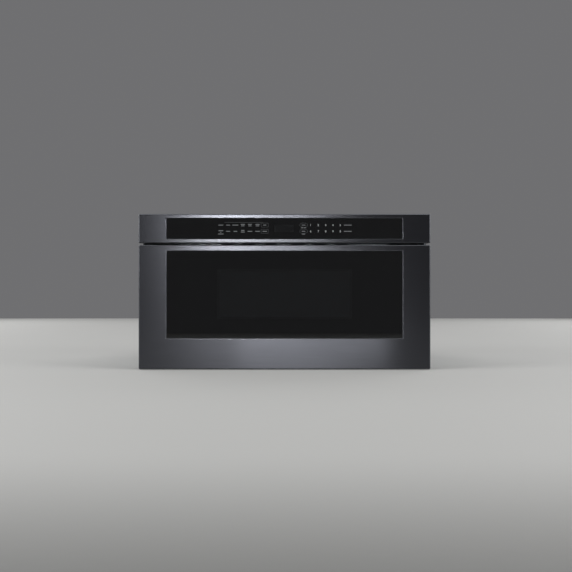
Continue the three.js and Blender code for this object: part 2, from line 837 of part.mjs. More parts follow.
/** Front frame: sealing face, folded walls back to the cabinet and mounting flanges. */
function frontFrame() {
  const bottom = -frame.bottom;
  const plateBack = frameY + sheet;
  const pan = block([-frameHalf, frameHalf], [frameY, 0], [bottom, frameTop]);
  const hollow = block(
    [-frameHalf + sheet, frameHalf - sheet],
    [plateBack, overcut],
    [bottom + sheet, frameTop - sheet],
  );
  const flanges = [-1, 1].map((side) => block(
    sideways(side, frameHalf - frame.flange, frameHalf - sheet / 2),
    [-sheet, 0],
    [bottom + frame.flangeEnd, frameTop - frame.flangeEnd],
  ));
  const through = [frameY - overcut, plateBack + overcut / 2];
  const opening = block([-cavityHalf, cavityHalf], through, [bay.under, cavityTop]);
  const ventZ = [cavityTop + vents.aboveCavity, cavityTop + vents.aboveCavity + vents.height];
  const vent = (x, width) => block([x - width / 2, x + width / 2], through, ventZ);
  const middleVents = [0, 1, 2].flatMap((step) => [-1, 1].map(
    (side) => vent(side * (vents.firstCentre + step * vents.slotPitch), vents.slotWidth),
  ));
  const endVents = [-1, 1].map((side) => vent(side * vents.endCentre, vents.endWidth));
  const slideSlots = [-1, 1].map((side) => block(
    sideways(side, armX - frame.slideGap, railX + slide.outerDepth - 1),
    through,
    [rackZ - frame.slideGap - drive.module, slideZ + slide.outerHalf + slide.arm],
  ));
  const latchSlots = [-1, 1].map((side) => block(
    sideways(side, latchX - frame.latchGap, latchX + latch.thick + frame.latchGap),
    through,
    [latchZ - frame.latchSlotHalf, latchZ + frame.latchSlotHalf],
  ));
  const harness = block([-panel.harnessHalf, panel.harnessHalf], through, harnessZ);
  const rows = spaced(frame.screwRows, frame.screwPitch, (bottom + frameTop) / 2);
  const screwX = frameHalf - frame.flange / 2;
  const screws = [-1, 1].flatMap((side) => rows.flatMap((z) => [
    facing(disc(side * screwX, z, frame.screwHole), -overcut, overcut, 4),
    facing(disc(side * screwX, z, frame.screwAccess), ...through, 5),
  ]));
  return cut(
    join(cut(pan, hollow), ...flanges),
    opening,
    harness,
    ...middleVents,
    ...endVents,
    ...slideSlots,
    ...latchSlots,
    ...screws,
  );
}

/** Oven cavity: welded box with a front flange, stirrer dome, lamp hole and vents. */
function ovenCavity() {
  const outerHalf = cavityHalf + sheet;
  const shell = block(
    [-outerHalf, outerHalf],
    [panFront, cavityBack + sheet],
    [bay.under - sheet, cavityTop + sheet],
  );
  const flange = block(
    [-outerHalf - oven.flange, outerHalf + oven.flange],
    [panFront, panFront + sheet],
    [bay.under - sheet - oven.flange, cavityTop + sheet + oven.flange],
  );
  const inside = block([-cavityHalf, cavityHalf], [panFront - overcut, cavityBack], [bay.under, cavityTop]);
  const dome = upright(disc(0, domeY, feed.domeRadius + sheet), cavityTop + sheet / 2, domeTop + sheet, 12);
  const domeInside = upright(disc(0, domeY, feed.domeRadius), cavityTop - overcut, domeTop, 12);
  const port = block(
    [-feed.port, feed.port],
    [domeY - feed.port, domeY + feed.port],
    [domeTop - overcut, domeTop + overcut],
  );
  const lampHole = across(
    disc(lampY, lampZ, lamp.hole),
    -cavityHalf - 2 * overcut,
    -cavityHalf + overcut,
    4,
  );
  const [ventWidth, ventHeight] = lamp.ventHalf;
  const sideVents = slots(spaced(lamp.vents, lamp.ventPitch, lampY), (y) => [
    [cavityHalf - overcut, cavityHalf + overcut],
    [y - ventWidth, y + ventWidth],
    [lampZ - ventHeight, lampZ + ventHeight],
  ]);
  return cut(join(shell, flange, dome), inside, domeInside, port, lampHole, ...sideVents);
}

// ---------------------------------------------------------------- microwave feed

/** Waveguide from the magnetron to the stirrer dome, with a foot on the cavity. */
function waveguide() {
  const half = feed.width / 2;
  const far = bayY + feed.past;
  const near = domeY - feed.before;
  const throughFloor = [guideBottom - overcut, guideBottom + overcut];
  const tube = block([-half, half], [near, far], [guideBottom, guideTop]);
  const inside = block(
    [-half + feed.wall, half - feed.wall],
    [near + feed.wall, far - feed.wall],
    [guideBottom + feed.wall, guideTop - feed.wall],
  );
  const port = block([-feed.port, feed.port], [domeY - feed.port, domeY + feed.port], throughFloor);
  const antennaHole = upright(disc(0, bayY, magnet.antenna + feed.antennaClear), ...throughFloor, 5);
  const shaftHole = upright(disc(0, domeY, 2 * feed.shaft), guideTop - overcut, guideTop + overcut, 4);
  const [footHalf, footThick] = feed.foot;
  const footBack = cavityBack - feed.footInside;
  const foot = block(
    [-footHalf, footHalf],
    [footBack, footBack + footThick],
    [cavityTop + sheet + seat, guideBottom + feed.wall / 2],
  );
  return join(cut(tube, inside, port, antennaHole, shaftHole), foot);
}

/** Magnetron: fin stack in its yoke, filter box below and antenna above. */
function magnetron() {
  const { halfX, halfY, wall, finInset } = magnet;
  const yoke = cut(
    block([-halfX, halfX], [bayY - halfY, bayY + halfY], [yokeBottom, yokeTop]),
    block(
      [-halfX - overcut, halfX + overcut],
      [bayY - halfY + wall, bayY + halfY - wall],
      [yokeBottom + wall, yokeTop - wall],
    ),
  );
  const fins = spaced(magnet.fins, magnet.finPitch, fanZ).map((z) => block(
    [-halfX + finInset, halfX - finInset],
    [bayY - halfY + wall / 2, bayY + halfY - wall / 2],
    [z - magnet.fin / 2, z + magnet.fin / 2],
  ));
  const anode = upright(disc(0, bayY, magnet.anode), yokeBottom + wall / 2, yokeTop - wall / 2, 5);
  const [topX, topY] = magnet.topHalf;
  const plate = block([-topX, topX], [bayY - topY, bayY + topY], [yokeTop - wall / 2, magnetTop]);
  const [filterX, filterY] = magnet.filterHalf;
  const filter = block(
    [-filterX, filterX],
    [bayY - filterY, bayY + filterY],
    [yokeBottom - magnet.filterDepth, yokeBottom + wall / 2],
  );
  const [reach, socketHalf, socketHeight] = magnet.socket;
  const socketTop = yokeBottom - magnet.socketBelow;
  const socket = block(
    [filterX - wall / 2, filterX + reach],
    [bayY - socketHalf, bayY + socketHalf],
    [socketTop - socketHeight, socketTop],
  );
  const [collar, shoulder, tip] = magnet.antennaRise;
  const antenna = turned([
    [0, -wall],
    [magnet.antenna, -wall],
    [magnet.antenna, collar],
    [magnet.antennaTip, collar],
    [magnet.antennaTip, shoulder],
    [magnet.antennaTip - tip + shoulder, tip],
    [0, tip],
  ], 14, [0, bayY, magnetTop]);
  return join(yoke, anode, plate, filter, socket, antenna, ...fins);
}

/** Stirrer: four pitched blades on a hub, with the shaft that its motor turns. */
function stirrer() {
  const middle = cavityTop + feed.domeHeight / 2;
  const [width, thickness] = feed.blade;
  const root = feed.hub / 2;
  const blades = [0, 1, 2, 3].map((quarter) => solid(
    new THREE.BoxGeometry(feed.stirrerRadius - root, width, thickness)
      .rotateX(feed.bladePitch)
      .translate((feed.stirrerRadius + root) / 2, 0, middle)
      .rotateZ(quarter * Math.PI / 2)
      .translate(0, domeY, 0),
  ));
  const hub = upright(disc(0, domeY, feed.hub), middle - feed.hubHalf, middle + feed.hubHalf, 6);
  const shaft = upright(disc(0, domeY, feed.shaft), middle, guideTop + seat + feed.shaftIn, 4);
  return join(hub, shaft, ...blades);
}

/** Stirrer motor on top of the waveguide, with its two fixing ears. */
function stirrerMotor() {
  const z0 = guideTop + seat;
  const [earReach, earHalf, earThick] = feed.ear;
  const body = upright(disc(0, domeY, feed.motorRadius), z0, z0 + feed.motorHeight, 12);
  const ears = block([-earReach, earReach], [domeY - earHalf, domeY + earHalf], [z0, z0 + earThick]);
  const bore = upright(
    disc(0, domeY, feed.shaft + running),
    z0 - overcut,
    z0 + feed.shaftIn + running,
    4,
  );
  return cut(join(body, ears), bore);
}

/** Low-loss cover under the stirrer dome. */
function stirrerCover() {
  const top = cavityTop - seat;
  return upright(disc(0, domeY, feed.domeRadius + feed.coverLap), top - feed.cover, top, 12);
}

// ---------------------------------------------------------------- power parts

/** High-voltage transformer: laminated core, two windings and feet. */
function transformer() {
  const { coreInset, windingHalf, windingHole, windingProud } = supply;
  const [x0, x1] = supply.coreX;
  const middle = (x0 + x1) / 2;
  const [y0, y1] = [bayY - supply.coreHalf, bayY + supply.coreHalf];
  const core = block(
    [x0 + coreInset, x1 - coreInset],
    [y0 + coreInset, y1 - coreInset],
    [standOn + supply.feet / 2, standOn + supply.coreHeight],
  );
  const feet = block([x0, x1], [y0 - coreInset, y1 + coreInset], [standOn, standOn + supply.feet]);
  const windows = [-1, 1].map((side) => block(
    supply.windowX.map((x) => middle + side * x),
    [y0 - overcut, y1 + overcut],
    supply.windowZ.map((z) => standOn + z),
  ));
  const outside = rounded(
    middle - windingHalf,
    middle + windingHalf,
    y0 - windingProud,
    y1 + windingProud,
    supply.windingCorner,
  );
  const inside = rounded(
    middle - windingHole,
    middle + windingHole,
    y0 + coreInset + windingProud,
    y1 - coreInset - windingProud,
    0,
  );
  const windings = supply.windings.map(([low, high]) => cut(
    upright(outside, standOn + low, standOn + high, 2),
    upright(inside, standOn + low - overcut, standOn + high + overcut, 1),
  ));
  return join(cut(core, ...windows), feet, ...windings);
}

/** High-voltage capacitor: upright oval can with two tabs. */
function capacitor() {
  const { canHalf, canHeight, tabHalf, tabThick } = supply;
  const [x0, x1] = supply.canX;
  const shape = rounded(x0, x1, bayY - canHalf, bayY + canHalf, supply.canCorner);
  const can = upright(shape, standOn, standOn + canHeight, 4);
  const tabs = spaced(2, supply.tabPitch, (x0 + x1) / 2).map((x) => block(
    [x - tabHalf, x + tabHalf],
    [bayY - tabThick / 2, bayY + tabThick / 2],
    [standOn + canHeight - tabThick, standOn + canHeight + supply.tabHeight],
  ));
  return join(can, ...tabs);
}

/** Line filter: board on a foot, with its ring choke and capacitor. */
function noiseFilter() {
  const { filterHalf, filterFoot, filterBoard } = supply;
  const [x0, x1] = supply.filterX;
  const middle = (x0 + x1) / 2;
  const boardTop = standOn + filterFoot + filterBoard;
  const foot = block([x0, x1], [bayY - filterHalf, bayY + filterHalf], [standOn, standOn + filterFoot]);
  const board = block(
    [x0 + filterBoard, x1 - filterBoard],
    [bayY - filterHalf + filterBoard, bayY + filterHalf - filterBoard],
    [standOn + filterFoot / 2, boardTop],
  );
  const [outer, inner, height] = supply.ring;
  const ringY = bayY + supply.ringAt;
  const ring = cut(
    upright(disc(middle, ringY, outer), boardTop - filterBoard / 2, boardTop + height, 6),
    upright(disc(middle, ringY, inner), boardTop, boardTop + height + overcut, 4),
  );
  const [boxX, boxY] = supply.boxHalf;
  const boxMiddle = bayY + supply.boxAt;
  const box = block(
    [middle - boxX, middle + boxX],
    [boxMiddle - boxY, boxMiddle + boxY],
    [boardTop - filterBoard / 2, boardTop + supply.boxHeight],
  );
  return join(foot, board, ring, box);
}

/** Bush for the supply cord, standing on +Z; its flange ends outside the back panel. */
function cordGland() {
  const { hole, bore, flange, length, inside } = gland;
  const barrel = hole - running;
  return turned([
    [bore, -inside],
    [barrel, -inside],
    [barrel, seat],
    [flange, seat],
    [flange, length - gland.round],
    [flange - gland.round, length],
    [bore, length],
    [bore, -inside],
  ], 20);
}

/** Oven lamp: bulb through the cavity wall below +Z = 0, and its socket above. */
function ovenLamp() {
  const [socket, shoulder] = lamp.socket;
  const [end, top] = lamp.socketEnd;
  return turned([
    [0, -lamp.bulbLength],
    [lamp.bulb, -lamp.bulbLength],
    [lamp.bulb, 0],
    [lamp.hole + lamp.flange, 0],
    [lamp.hole + lamp.flange, lamp.plate],
    [socket, lamp.plate],
    [socket, shoulder],
    [end, top],
    [0, top],
  ], 14);
}

// ---------------------------------------------------------------- cooling

const motorFront = -blower.plate - blower.shroud - sheet - seat;

/** Fan wall: a plate that stands on the base pan, with the fan's shroud and motor strap. */
function fanHousing() {
  const x = -blower.plate;
  const rear = x - blower.shroud;
  const bore = blower.radius + blower.tipGap;
  const plate = block(
    [x, x + sheet],
    [bayY - blower.halfWidth, bayY + blower.halfWidth],
    [standOn, fanZ + blower.halfWidth],
  );
  const foot = block(
    [x - blower.foot, x + sheet],
    [bayY - blower.footHalf, bayY + blower.footHalf],
    [standOn, standOn + sheet],
  );
  const shroud = across(disc(bayY, fanZ, bore + sheet), rear, x + sheet, 12);
  const strap = block(
    [rear - sheet, rear + sheet / 2],
    [bayY - bore - sheet, bayY + bore + sheet],
    [fanZ - blower.strapHalf, fanZ + blower.strapHalf],
  );
  const air = across(disc(bayY, fanZ, bore), rear, x + overcut, 12);
  const shaftHole = across(disc(bayY, fanZ, 2 * feed.shaft), rear - overcut, x, 4);
  return cut(join(cut(join(plate, shroud), air), foot, strap), shaftHole);
}

/** Fan wheel: pitched blades on a hub, and its shaft through the strap into the motor. */
function fanImpeller() {
  const x = -blower.plate - blower.shroud / 2;
  const root = blower.hub - blower.bladeIn;
  const [width, thickness] = blower.blade;
  const blades = Array.from({ length: blower.blades }, (_, i) => solid(
    new THREE.BoxGeometry(width, thickness, blower.radius - root)
      .rotateZ(blower.bladePitch)
      .translate(0, 0, (blower.radius + root) / 2)
      .rotateX(i * 2 * Math.PI / blower.blades)
      .translate(x, bayY, fanZ),
  ));
  const hub = across(disc(bayY, fanZ, blower.hub), x - blower.hubHalf, x + blower.hubHalf, 7);
  const shaft = across(disc(bayY, fanZ, feed.shaft), motorFront - blower.shaftIn + running, x, 4);
  return join(hub, shaft, ...blades);
}

/** Fan motor: laminated stack with its coil, on the strap. */
function fanMotor() {
  const { coilHalf, stackHalf, coilOver } = blower;
  const front = motorFront - blower.stackGap;
  const back = front - blower.stack;
  const stack = block(
    [back, front],
    [bayY - stackHalf, bayY + stackHalf],
    blower.stackRise.map((z) => fanZ + z),
  );
  const coilZ = blower.coilRise.map((z) => fanZ + z);
  const coilShape = rounded(bayY - coilHalf, bayY + coilHalf, ...coilZ, blower.coilCorner);
  const coil = across(coilShape, back - coilOver, motorFront - 1, 2);
  const [windowHalf, low, high] = blower.window;
  const window = block(
    [back - overcut, front + overcut],
    [bayY - windowHalf, bayY + windowHalf],
    [fanZ + low, fanZ + high],
  );
  const bearing = across(disc(bayY, fanZ, blower.bearing), motorFront - blower.bearingDepth, motorFront, 6);
  const bore = across(
    disc(bayY, fanZ, feed.shaft + running),
    motorFront - blower.shaftIn,
    motorFront + overcut,
    4,
  );
  return cut(join(cut(stack, window), coil, bearing), bore);
}

/** Tapered duct from the fan wall to the magnetron's fins. */
function airDuct() {
  const [x0, x1] = [-blower.plate + sheet + seat, -magnet.topHalf[0] - blower.ductLap - 1.5];
  const mouth = blower.ductLap;
  const end = (x, halfY, halfZ) => ({
    at: x,
    first: [bayY - halfY, bayY + halfY],
    second: [fanZ - halfZ, fanZ + halfZ],
  });
  const shell = (grow, past) => loft(
    0,
    end(x0 - past, blower.ductHalf + grow, blower.ductHalf + grow),
    end(x1 + past, magnet.halfY + mouth + grow, magnet.height / 2 + mouth + grow),
  );
  return cut(shell(0, 0), shell(-blower.ductWall, 1));
}

// ---------------------------------------------------------------- slides

/** A C-shaped slide member, open towards the middle of the unit. */
function channel(side, lip, web, half, length) {
  const outer = block(sideways(side, lip, web), length, [slideZ - half, slideZ + half]);
  const inner = block(
    sideways(side, Math.min(lip, web) - overcut, Math.max(lip, web) - slide.wall),
    [length[0] - overcut, length[1] + overcut],
    [slideZ - half + slide.wall, slideZ + half - slide.wall],
  );
  return cut(outer, inner);
}

const railY = [frameY + slide.start, frameY + slide.start + railLength];
const middleHalf = slide.outerHalf - slide.wall - slide.ball;
const innerHalf = middleHalf - slide.wall - slide.ball;

/** Outer slide member, on its bracket. */
function fixedRail(side) {
  return channel(side, railX + seat, railX + slide.outerDepth, slide.outerHalf, railY);
}

/** Middle slide member with its upper and lower rows of balls as raised tracks. */
function middleRail(side) {
  const [ahead, behind] = slide.middleInset;
  const web = railX + slide.outerDepth - slide.wall - slide.webGap;
  const length = [railY[0] + ahead, railY[1] - behind];
  const body = channel(side, railX + 2 * seat, web, middleHalf, length);
  const trackY = [length[0] + slide.trackInset, length[1] - slide.trackInset];
  const track = ([near, far], low, high) => [-1, 1].map((up) => block(
    sideways(side, railX + near, railX + far),
    trackY,
    [slideZ + up * low, slideZ + up * high],
  ));
  return join(
    body,
    ...track(slide.outerTrack, middleHalf - slide.wall / 2, middleHalf + slide.ball - running),
    ...track(slide.innerTrack, innerHalf + running, middleHalf - slide.wall / 2),
  );
}

/** Inner slide member, open away from the drawer arm that it is fixed to. */
function innerRail(side) {
  const open = railX + slide.innerDepth;
  const outer = block(sideways(side, railX, open), railY, [slideZ - innerHalf, slideZ + innerHalf]);
  const inner = block(
    sideways(side, railX + slide.wall, open + overcut),
    [railY[0] - overcut, railY[1] + overcut],
    [slideZ - innerHalf + slide.wall, slideZ + innerHalf - slide.wall],
  );
  return cut(outer, inner);
}

/** Upright bracket that carries a slide and the axle's bush, with lightening windows. */
function railBracket(side) {
  const near = bracketX;
  const far = bracketX + slide.bracket;
  const through = [side * (near - overcut), side * (far + overcut)];
  const length = [panFront, railY[1] + slide.bracketPast];
  const height = [standOn, slideZ + slide.outerHalf + slide.bracketTop];
  const plate = block(sideways(side, near, far), length, height);
  const foot = block(
    sideways(side, far - slide.bracketFoot, far),
    length,
    [standOn, standOn + slide.bracket],
  );
  const tab = block(
    sideways(side, near, near + slide.bracketTab),
    [panFront, panFront + slide.bracket],
    height,
  );
  const windowTop = slideZ - slide.outerHalf - slide.windowBelow;
  const windowMiddle = (axleY + length[1]) / 2 + slide.windowShift;
  const windows = spaced(slide.windows, slide.windowPitch, windowMiddle).map((y) => across(
    rounded(y - slide.windowHalf, y + slide.windowHalf, slide.windowLow, windowTop, slide.windowRadius),
    ...through,
    2,
  ));
  const bushHole = across(disc(axleY, axleZ, drive.bush + running), ...through, 8);
  return cut(join(plate, foot, tab), bushHole, ...windows);
}

/** Drawer arm: plate beside the slide, tapering to the rear, with its foot on the door. */
function drawerArm(side) {
  const rear = rackSpan[1];
  const top = slideZ + slide.outerHalf - slide.arm;
  const plate = across(
    outline([
      [footY, rackZ],
      [rear, rackZ],
      [rear, slideZ + innerHalf],
      [rear - slide.armTaper, top],
      [footY, top],
    ]),
    side * armX,
    side * (armX + slide.arm),
  );
  const foot = block(
    sideways(side, armX, armX + slide.armFoot),
    [footY, footY + slide.arm],
    [rackZ, top],
  );
  return join(plate, foot);
}

// ---------------------------------------------------------------- drive

/** Involute of an angle. */
function involute(angle) {
  return Math.tan(angle) - angle;
}

/** Outline of a spur gear centred on (0, 0), one tooth at angle phase, with a hole. */
function gearOutline(teeth, module, phase, hole) {
  const pitch = module * teeth / 2;
  const base = pitch * Math.cos(drive.pressureAngle);
  const tip = pitch + drive.addendum * module;
  const root = pitch - drive.dedendum * module;
  const pitchHalfAngle = (Math.PI * module / 2 - drive.backlash / 2) / (2 * pitch);
  const flankSteps = 2;
  const start = Math.max(base, root);
  const flank = Array.from({ length: flankSteps + 1 }, (_, i) => {
    const radius = start + (tip - start) * i / flankSteps;
    const angle = Math.acos(Math.min(1, base / radius));
    return [radius, pitchHalfAngle + involute(drive.pressureAngle) - involute(angle)];
  });
  if (root < base - 0.2 * module) flank.unshift([root, flank[0][1]]);
  const points = [];
  for (let tooth = 0; tooth < teeth; tooth += 1) {
    const middle = phase + tooth * 2 * Math.PI / teeth;
    const rising = flank.map(([radius, half]) => [radius, middle - half]);
    const falling = flank.map(([radius, half]) => [radius, middle + half]).reverse();
    for (const [radius, angle] of [...rising, ...falling]) {
      points.push([radius * Math.cos(angle), radius * Math.sin(angle)]);
    }
  }
  const shape = outline(points);
  shape.holes.push(hole);
  return shape;
}

/** A circle with one flat, as the axle and the bores on it have. */
function flatted(radius, flat) {
  const angle = Math.acos((radius - flat) / radius);
  return new THREE.Shape().absarc(0, 0, radius, angle, 2 * Math.PI - angle);
}

const axleEnd = bracketX + slide.bracket + drive.axlePast;
const meshDistance = drive.gearModule * (drive.gearTeeth + drive.motorTeeth) / 2;
const motorY = axleY + meshDistance * Math.cos(drive.meshAngle);
const motorZ = axleZ + meshDistance * Math.sin(drive.meshAngle);
const motorFace = drive.gearAt + drive.gearWidth / 2 + drive.motorGap;
const gearX = [drive.gearAt - drive.gearWidth / 2, drive.gearAt + drive.gearWidth / 2];

/** Rack under a drawer arm: straight-flanked teeth that point down. */
function rack(side) {
  const pitch = Math.PI * drive.module;
  const tipZ = rackZ - drive.addendum * drive.module;
  const rootZ = rackZ + drive.dedendum * drive.module;
  const slope = Math.tan(drive.pressureAngle);
  const halfAt = (z) => pitch / 4 - drive.backlash / 4 + (z - rackZ) * slope;
  const first = Math.ceil((rackSpan[0] - axleY) / pitch);
  const last = Math.floor((rackSpan[1] - axleY) / pitch) - 1;
  const points = [[rackSpan[0], rackZ + drive.rackHeight], [rackSpan[0], rootZ]];
  for (let tooth = first; tooth <= last; tooth += 1) {
    const y = axleY + (tooth + 0.5) * pitch;
    points.push([y - halfAt(rootZ), rootZ], [y - halfAt(tipZ), tipZ]);
    points.push([y + halfAt(tipZ), tipZ], [y + halfAt(rootZ), rootZ]);
  }
  points.push([rackSpan[1], rootZ], [rackSpan[1], rackZ + drive.rackHeight]);
  return across(outline(points), side * railX, side * (railX + rackWidth));
}

/** Cross axle with a flat along it, centred on its own axis. */
function crossAxle() {
  return across(flatted(drive.axleRadius, drive.flat), -axleEnd, axleEnd, 7);
}

/** Pinion under a rack, with a tooth upright at rest. */
function pinion(side) {
  const hole = flatted(drive.axleRadius + running, drive.flat);
  const shape = gearOutline(drive.pinionTeeth, drive.module, Math.PI / 2, hole);
  const near = railX + (rackWidth - drive.faceWidth) / 2;
  return across(shape, side * near, side * (near + drive.faceWidth));
}

/** Final gear on the axle, with its hub. */
function finalGear() {
  const hole = flatted(drive.axleRadius + running, drive.flat);
  const wheel = across(gearOutline(drive.gearTeeth, drive.gearModule, drive.meshAngle, hole), ...gearX);
  const hubShape = disc(0, 0, drive.hub);
  hubShape.holes.push(hole);
  return join(wheel, across(hubShape, gearX[0] - drive.hubWidth, gearX[0] + 0.5, 8));
}

/** Motor's pinion and output shaft. */
function motorPinion() {
  const gap = drive.meshAngle + Math.PI + Math.PI / drive.motorTeeth;
  const hole = disc(0, 0, drive.motorShaft - 1);
  const x0 = gearX[0] - drive.meshPast;
  const wheel = across(
    gearOutline(drive.motorTeeth, drive.gearModule, gap, hole),
    x0,
    gearX[1] + drive.meshPast,
  );
  return join(wheel, across(disc(0, 0, drive.motorShaft), x0, motorFace + drive.shaftIn, 5));
}

/** Drawer motor: gearbox, motor can and foot on the base pan. */
function driveMotor() {
  const { gearboxHalf, gearboxAbove, can, canLength, footAhead, footBehind } = drive;
  const middle = motorY + drive.gearboxBehind;
  const boxEnd = motorFace + drive.gearbox;
  const shape = rounded(
    middle - gearboxHalf,
    middle + gearboxHalf,
    gearboxAbove - gearboxHalf,
    gearboxAbove + gearboxHalf,
    gearboxHalf / 3,
  );
  const gearbox = across(shape, motorFace, boxEnd, 2);
  const motorCan = across(disc(middle, gearboxAbove, can), boxEnd - 1, boxEnd + canLength - 1, 8);
  const foot = block(
    [motorFace, motorFace + drive.footWidth],
    [motorY - footAhead, motorY + footBehind],
    [standOn, standOn + drive.footPlate],
  );
  const [webThick, webTop] = drive.web;
  const web = block(
    [motorFace, motorFace + webThick],
    [motorY - footAhead, middle + gearboxHalf],
    [standOn, webTop],
  );
  const bore = across(
    disc(motorY, motorZ, drive.motorShaft + running),
    motorFace - overcut,
    motorFace + drive.shaftIn + 2 * seat,
    5,
  );
  return cut(join(gearbox, motorCan, foot, web), bore);
}

/** Flanged bush for the axle in its bracket. */
function axleBush(side) {
  const { bush, axleRadius, bushFlange } = drive;
  const ring = (outer, x0, x1) => {
    const shape = disc(axleY, axleZ, outer);
    shape.holes.push(disc(axleY, axleZ, axleRadius + running));
    return across(shape, side * x0, side * x1, 8);
  };
  const outside = bracketX + slide.bracket + seat;
  return join(
    ring(bush, bracketX, outside + 2 * seat),
    ring(bush + bushFlange, outside, outside + slide.arm),
  );
}

// ---------------------------------------------------------------- latches

/** Latch hook on the drawer front, which presses the switches when it is shut. */
function latchHook(side) {
  const { thick, reach, footHalf } = latch;
  const [inside, outside] = latch.foot;
  const profile = [
    [footY, -5],
    [reach - 6, -5],
    [reach, -1],
    [reach, 3],
    [reach - 4, 8],
    [reach - 12, 8],
    [reach - 15, 4],
    [footY, 6],
  ];
  const shank = across(
    outline(profile.map(([y, rise]) => [y, latchZ + rise])),
    side * latchX,
    side * (latchX + thick),
  );
  const foot = block(
    sideways(side, latchX - inside, latchX + thick + outside),
    [footY, footY + slide.arm],
    [latchZ - footHalf, latchZ + footHalf],
  );
  return join(shank, foot);
}

/** Switch holder behind the frame, with a microswitch above and below the hook's path. */
function interlockSwitches(side) {
  const { holderWall, holderHalf, switchWidth } = latch;
  const wallX = latchX + latch.thick + latch.holder;
  const height = [latchZ - holderHalf, latchZ + holderHalf];
  const wall = block(sideways(side, wallX, wallX + holderWall), [panFront, latch.holderEnd], height);
  const tab = block(
    sideways(side, wallX, wallX + latch.holderTab),
    [panFront, panFront + holderWall],
    height,
  );
  const rise = (up, span) => span.map((z) => latchZ + up * z);
  const bodies = [-1, 1].map((up) => join(
    block(sideways(side, latchX - 2, wallX + holderWall / 3), latch.switchY, rise(up, latch.switchRise)),
    block(sideways(side, latchX, latchX + switchWidth), latch.plungerY, rise(up, latch.plungerRise)),
    block(sideways(side, latchX, latchX + switchWidth), latch.leverY, rise(up, latch.leverRise)),
  ));
  return join(wall, tab, ...bodies);
}

// ---------------------------------------------------------------- drawer

/** Drawer front skin. */
function drawerFront() {
  return frontShell({
    bottom: drawerBottom,
    top: drawerTop,
    glass: drawerGlass,
    depth: face.drawerDepth,
  });
}

const windowZ = (bay.under + cavityTop) / 2;

/** Steel plate that closes the back of the drawer front round the choke frame. */
function doorBackPlate() {
  const half = faceHalf - sheet - seat;
  const [low, high] = [drawerBottom + sheet + seat, drawerTop - sheet - seat];
  const foldY = plateY[0] - face.plateFold;
  const plate = block([-half, half], [foldY, plateY[1]], [low, high]);
  const hollow = block(
    [-half + sheet, half - sheet],
    [foldY - overcut, plateY[0]],
    [low + sheet, high - sheet],
  );
  const opening = block(
    [-chokeHalf - seat, chokeHalf + seat],
    [plateY[0] - overcut, plateY[1] + overcut],
    [chokeBottom - seat, chokeTop + seat],
  );
  return cut(plate, hollow, opening);
}

/** Choke frame: inner door pan with a quarter-wave groove round the sealing face. */
function chokeFrame() {
  const ring = (inset, y0, y1) => block(
    [-chokeHalf + inset, chokeHalf - inset],
    [y0, y1],
    [chokeBottom + inset, chokeTop - inset],
  );
  const inner = choke.groove + 2 * sheet;
  const front = doorY - choke.depth;
  const body = ring(0, front, doorY);
  const flange = ring(-choke.flange, plateY[0] - seat - sheet, plateY[0] - seat);
  const groove = cut(
    ring(sheet, front + sheet, doorY + overcut),
    ring(inner - sheet, front - overcut, doorY + 2 * overcut),
  );
  const pocket = ring(inner, front - overcut, doorY - sheet);
  const window = block(
    [-choke.windowWidth / 2, choke.windowWidth / 2],
    [doorY - overcut, doorY + overcut],
    [windowZ - choke.windowHeight / 2, windowZ + choke.windowHeight / 2],
  );
  return cut(join(body, flange), groove, pocket, window);
}

/** Moulded cover over the choke groove. */
function chokeCover() {
  const y0 = doorY + seat;
  const inner = choke.groove + 2 * sheet;
  const layer = (inset, from, to) => block(
    [-chokeHalf + inset, chokeHalf - inset],
    [from, to],
    [chokeBottom + inset, chokeTop - inset],
  );
  const ring = cut(layer(0, y0, y0 + choke.cover), layer(inner, y0 - overcut, y0 + overcut));
  const intoGroove = sheet + choke.groove / 2;
  const tabZ = [chokeBottom + intoGroove, chokeTop - intoGroove];
  const [clipX, clipZ] = choke.clipHalf;
  const tabs = spaced(choke.clips, choke.clipPitch).flatMap((x) => tabZ.map((z) => block(
    [x - clipX, x + clipX],
    [y0 - choke.clipReach, y0 + choke.cover / 2],
    [z - clipZ, z + clipZ],
  )));
  return join(ring, ...tabs);
}

/** Outline of the screen and of the pane, which lap over the window's edge. */
function windowOutline() {
  const halfX = choke.windowWidth / 2 + choke.windowLap;
  const halfZ = choke.windowHeight / 2 + choke.windowLap;
  return rounded(-halfX, halfX, windowZ - halfZ, windowZ + halfZ, choke.windowCorner);
}

/** Perforated screen behind the window (its holes are too fine to cut here). */
function doorScreen() {
  const back = doorY - sheet - seat;
  return facing(windowOutline(), back - sheet, back, 2);
}

/** Clear pane over the window on the oven side. */
function innerWindow() {
  return facing(windowOutline(), doorY + seat, doorY + seat + choke.pane, 2);
}

/** Drawer box: round rear corners, rolled rim and a flange on the door. */
function drawerBox() {
  const plan = (grow, front) => rounded(
    -boxHalf - grow,
    boxHalf + grow,
    front,
    boxBack + grow,
    0,
    oven.corner + grow,
  );
  const tub = upright(plan(0, boxFront), boxBottom, boxTop, 3);
  const rim = upright(plan(oven.rim, boxFront), boxTop - sheet, boxTop, 3);
  const lip = cut(
    upright(plan(oven.rim, boxFront), boxTop - oven.rim, boxTop, 3),
    upright(plan(oven.rim - sheet, boxFront - overcut), boxTop - 2 * oven.rim, boxTop - sheet, 3),
  );
  const inside = upright(plan(-sheet, boxFront - overcut), boxBottom + sheet, boxTop + overcut, 3);
  const [beside, below] = oven.boxFlange;
  const flange = block(
    [-boxHalf - beside, boxHalf + beside],
    [boxFront, boxFront + sheet],
    [boxBottom - below, boxTop - oven.rim],
  );
  return cut(join(tub, rim, lip, flange), inside);
}

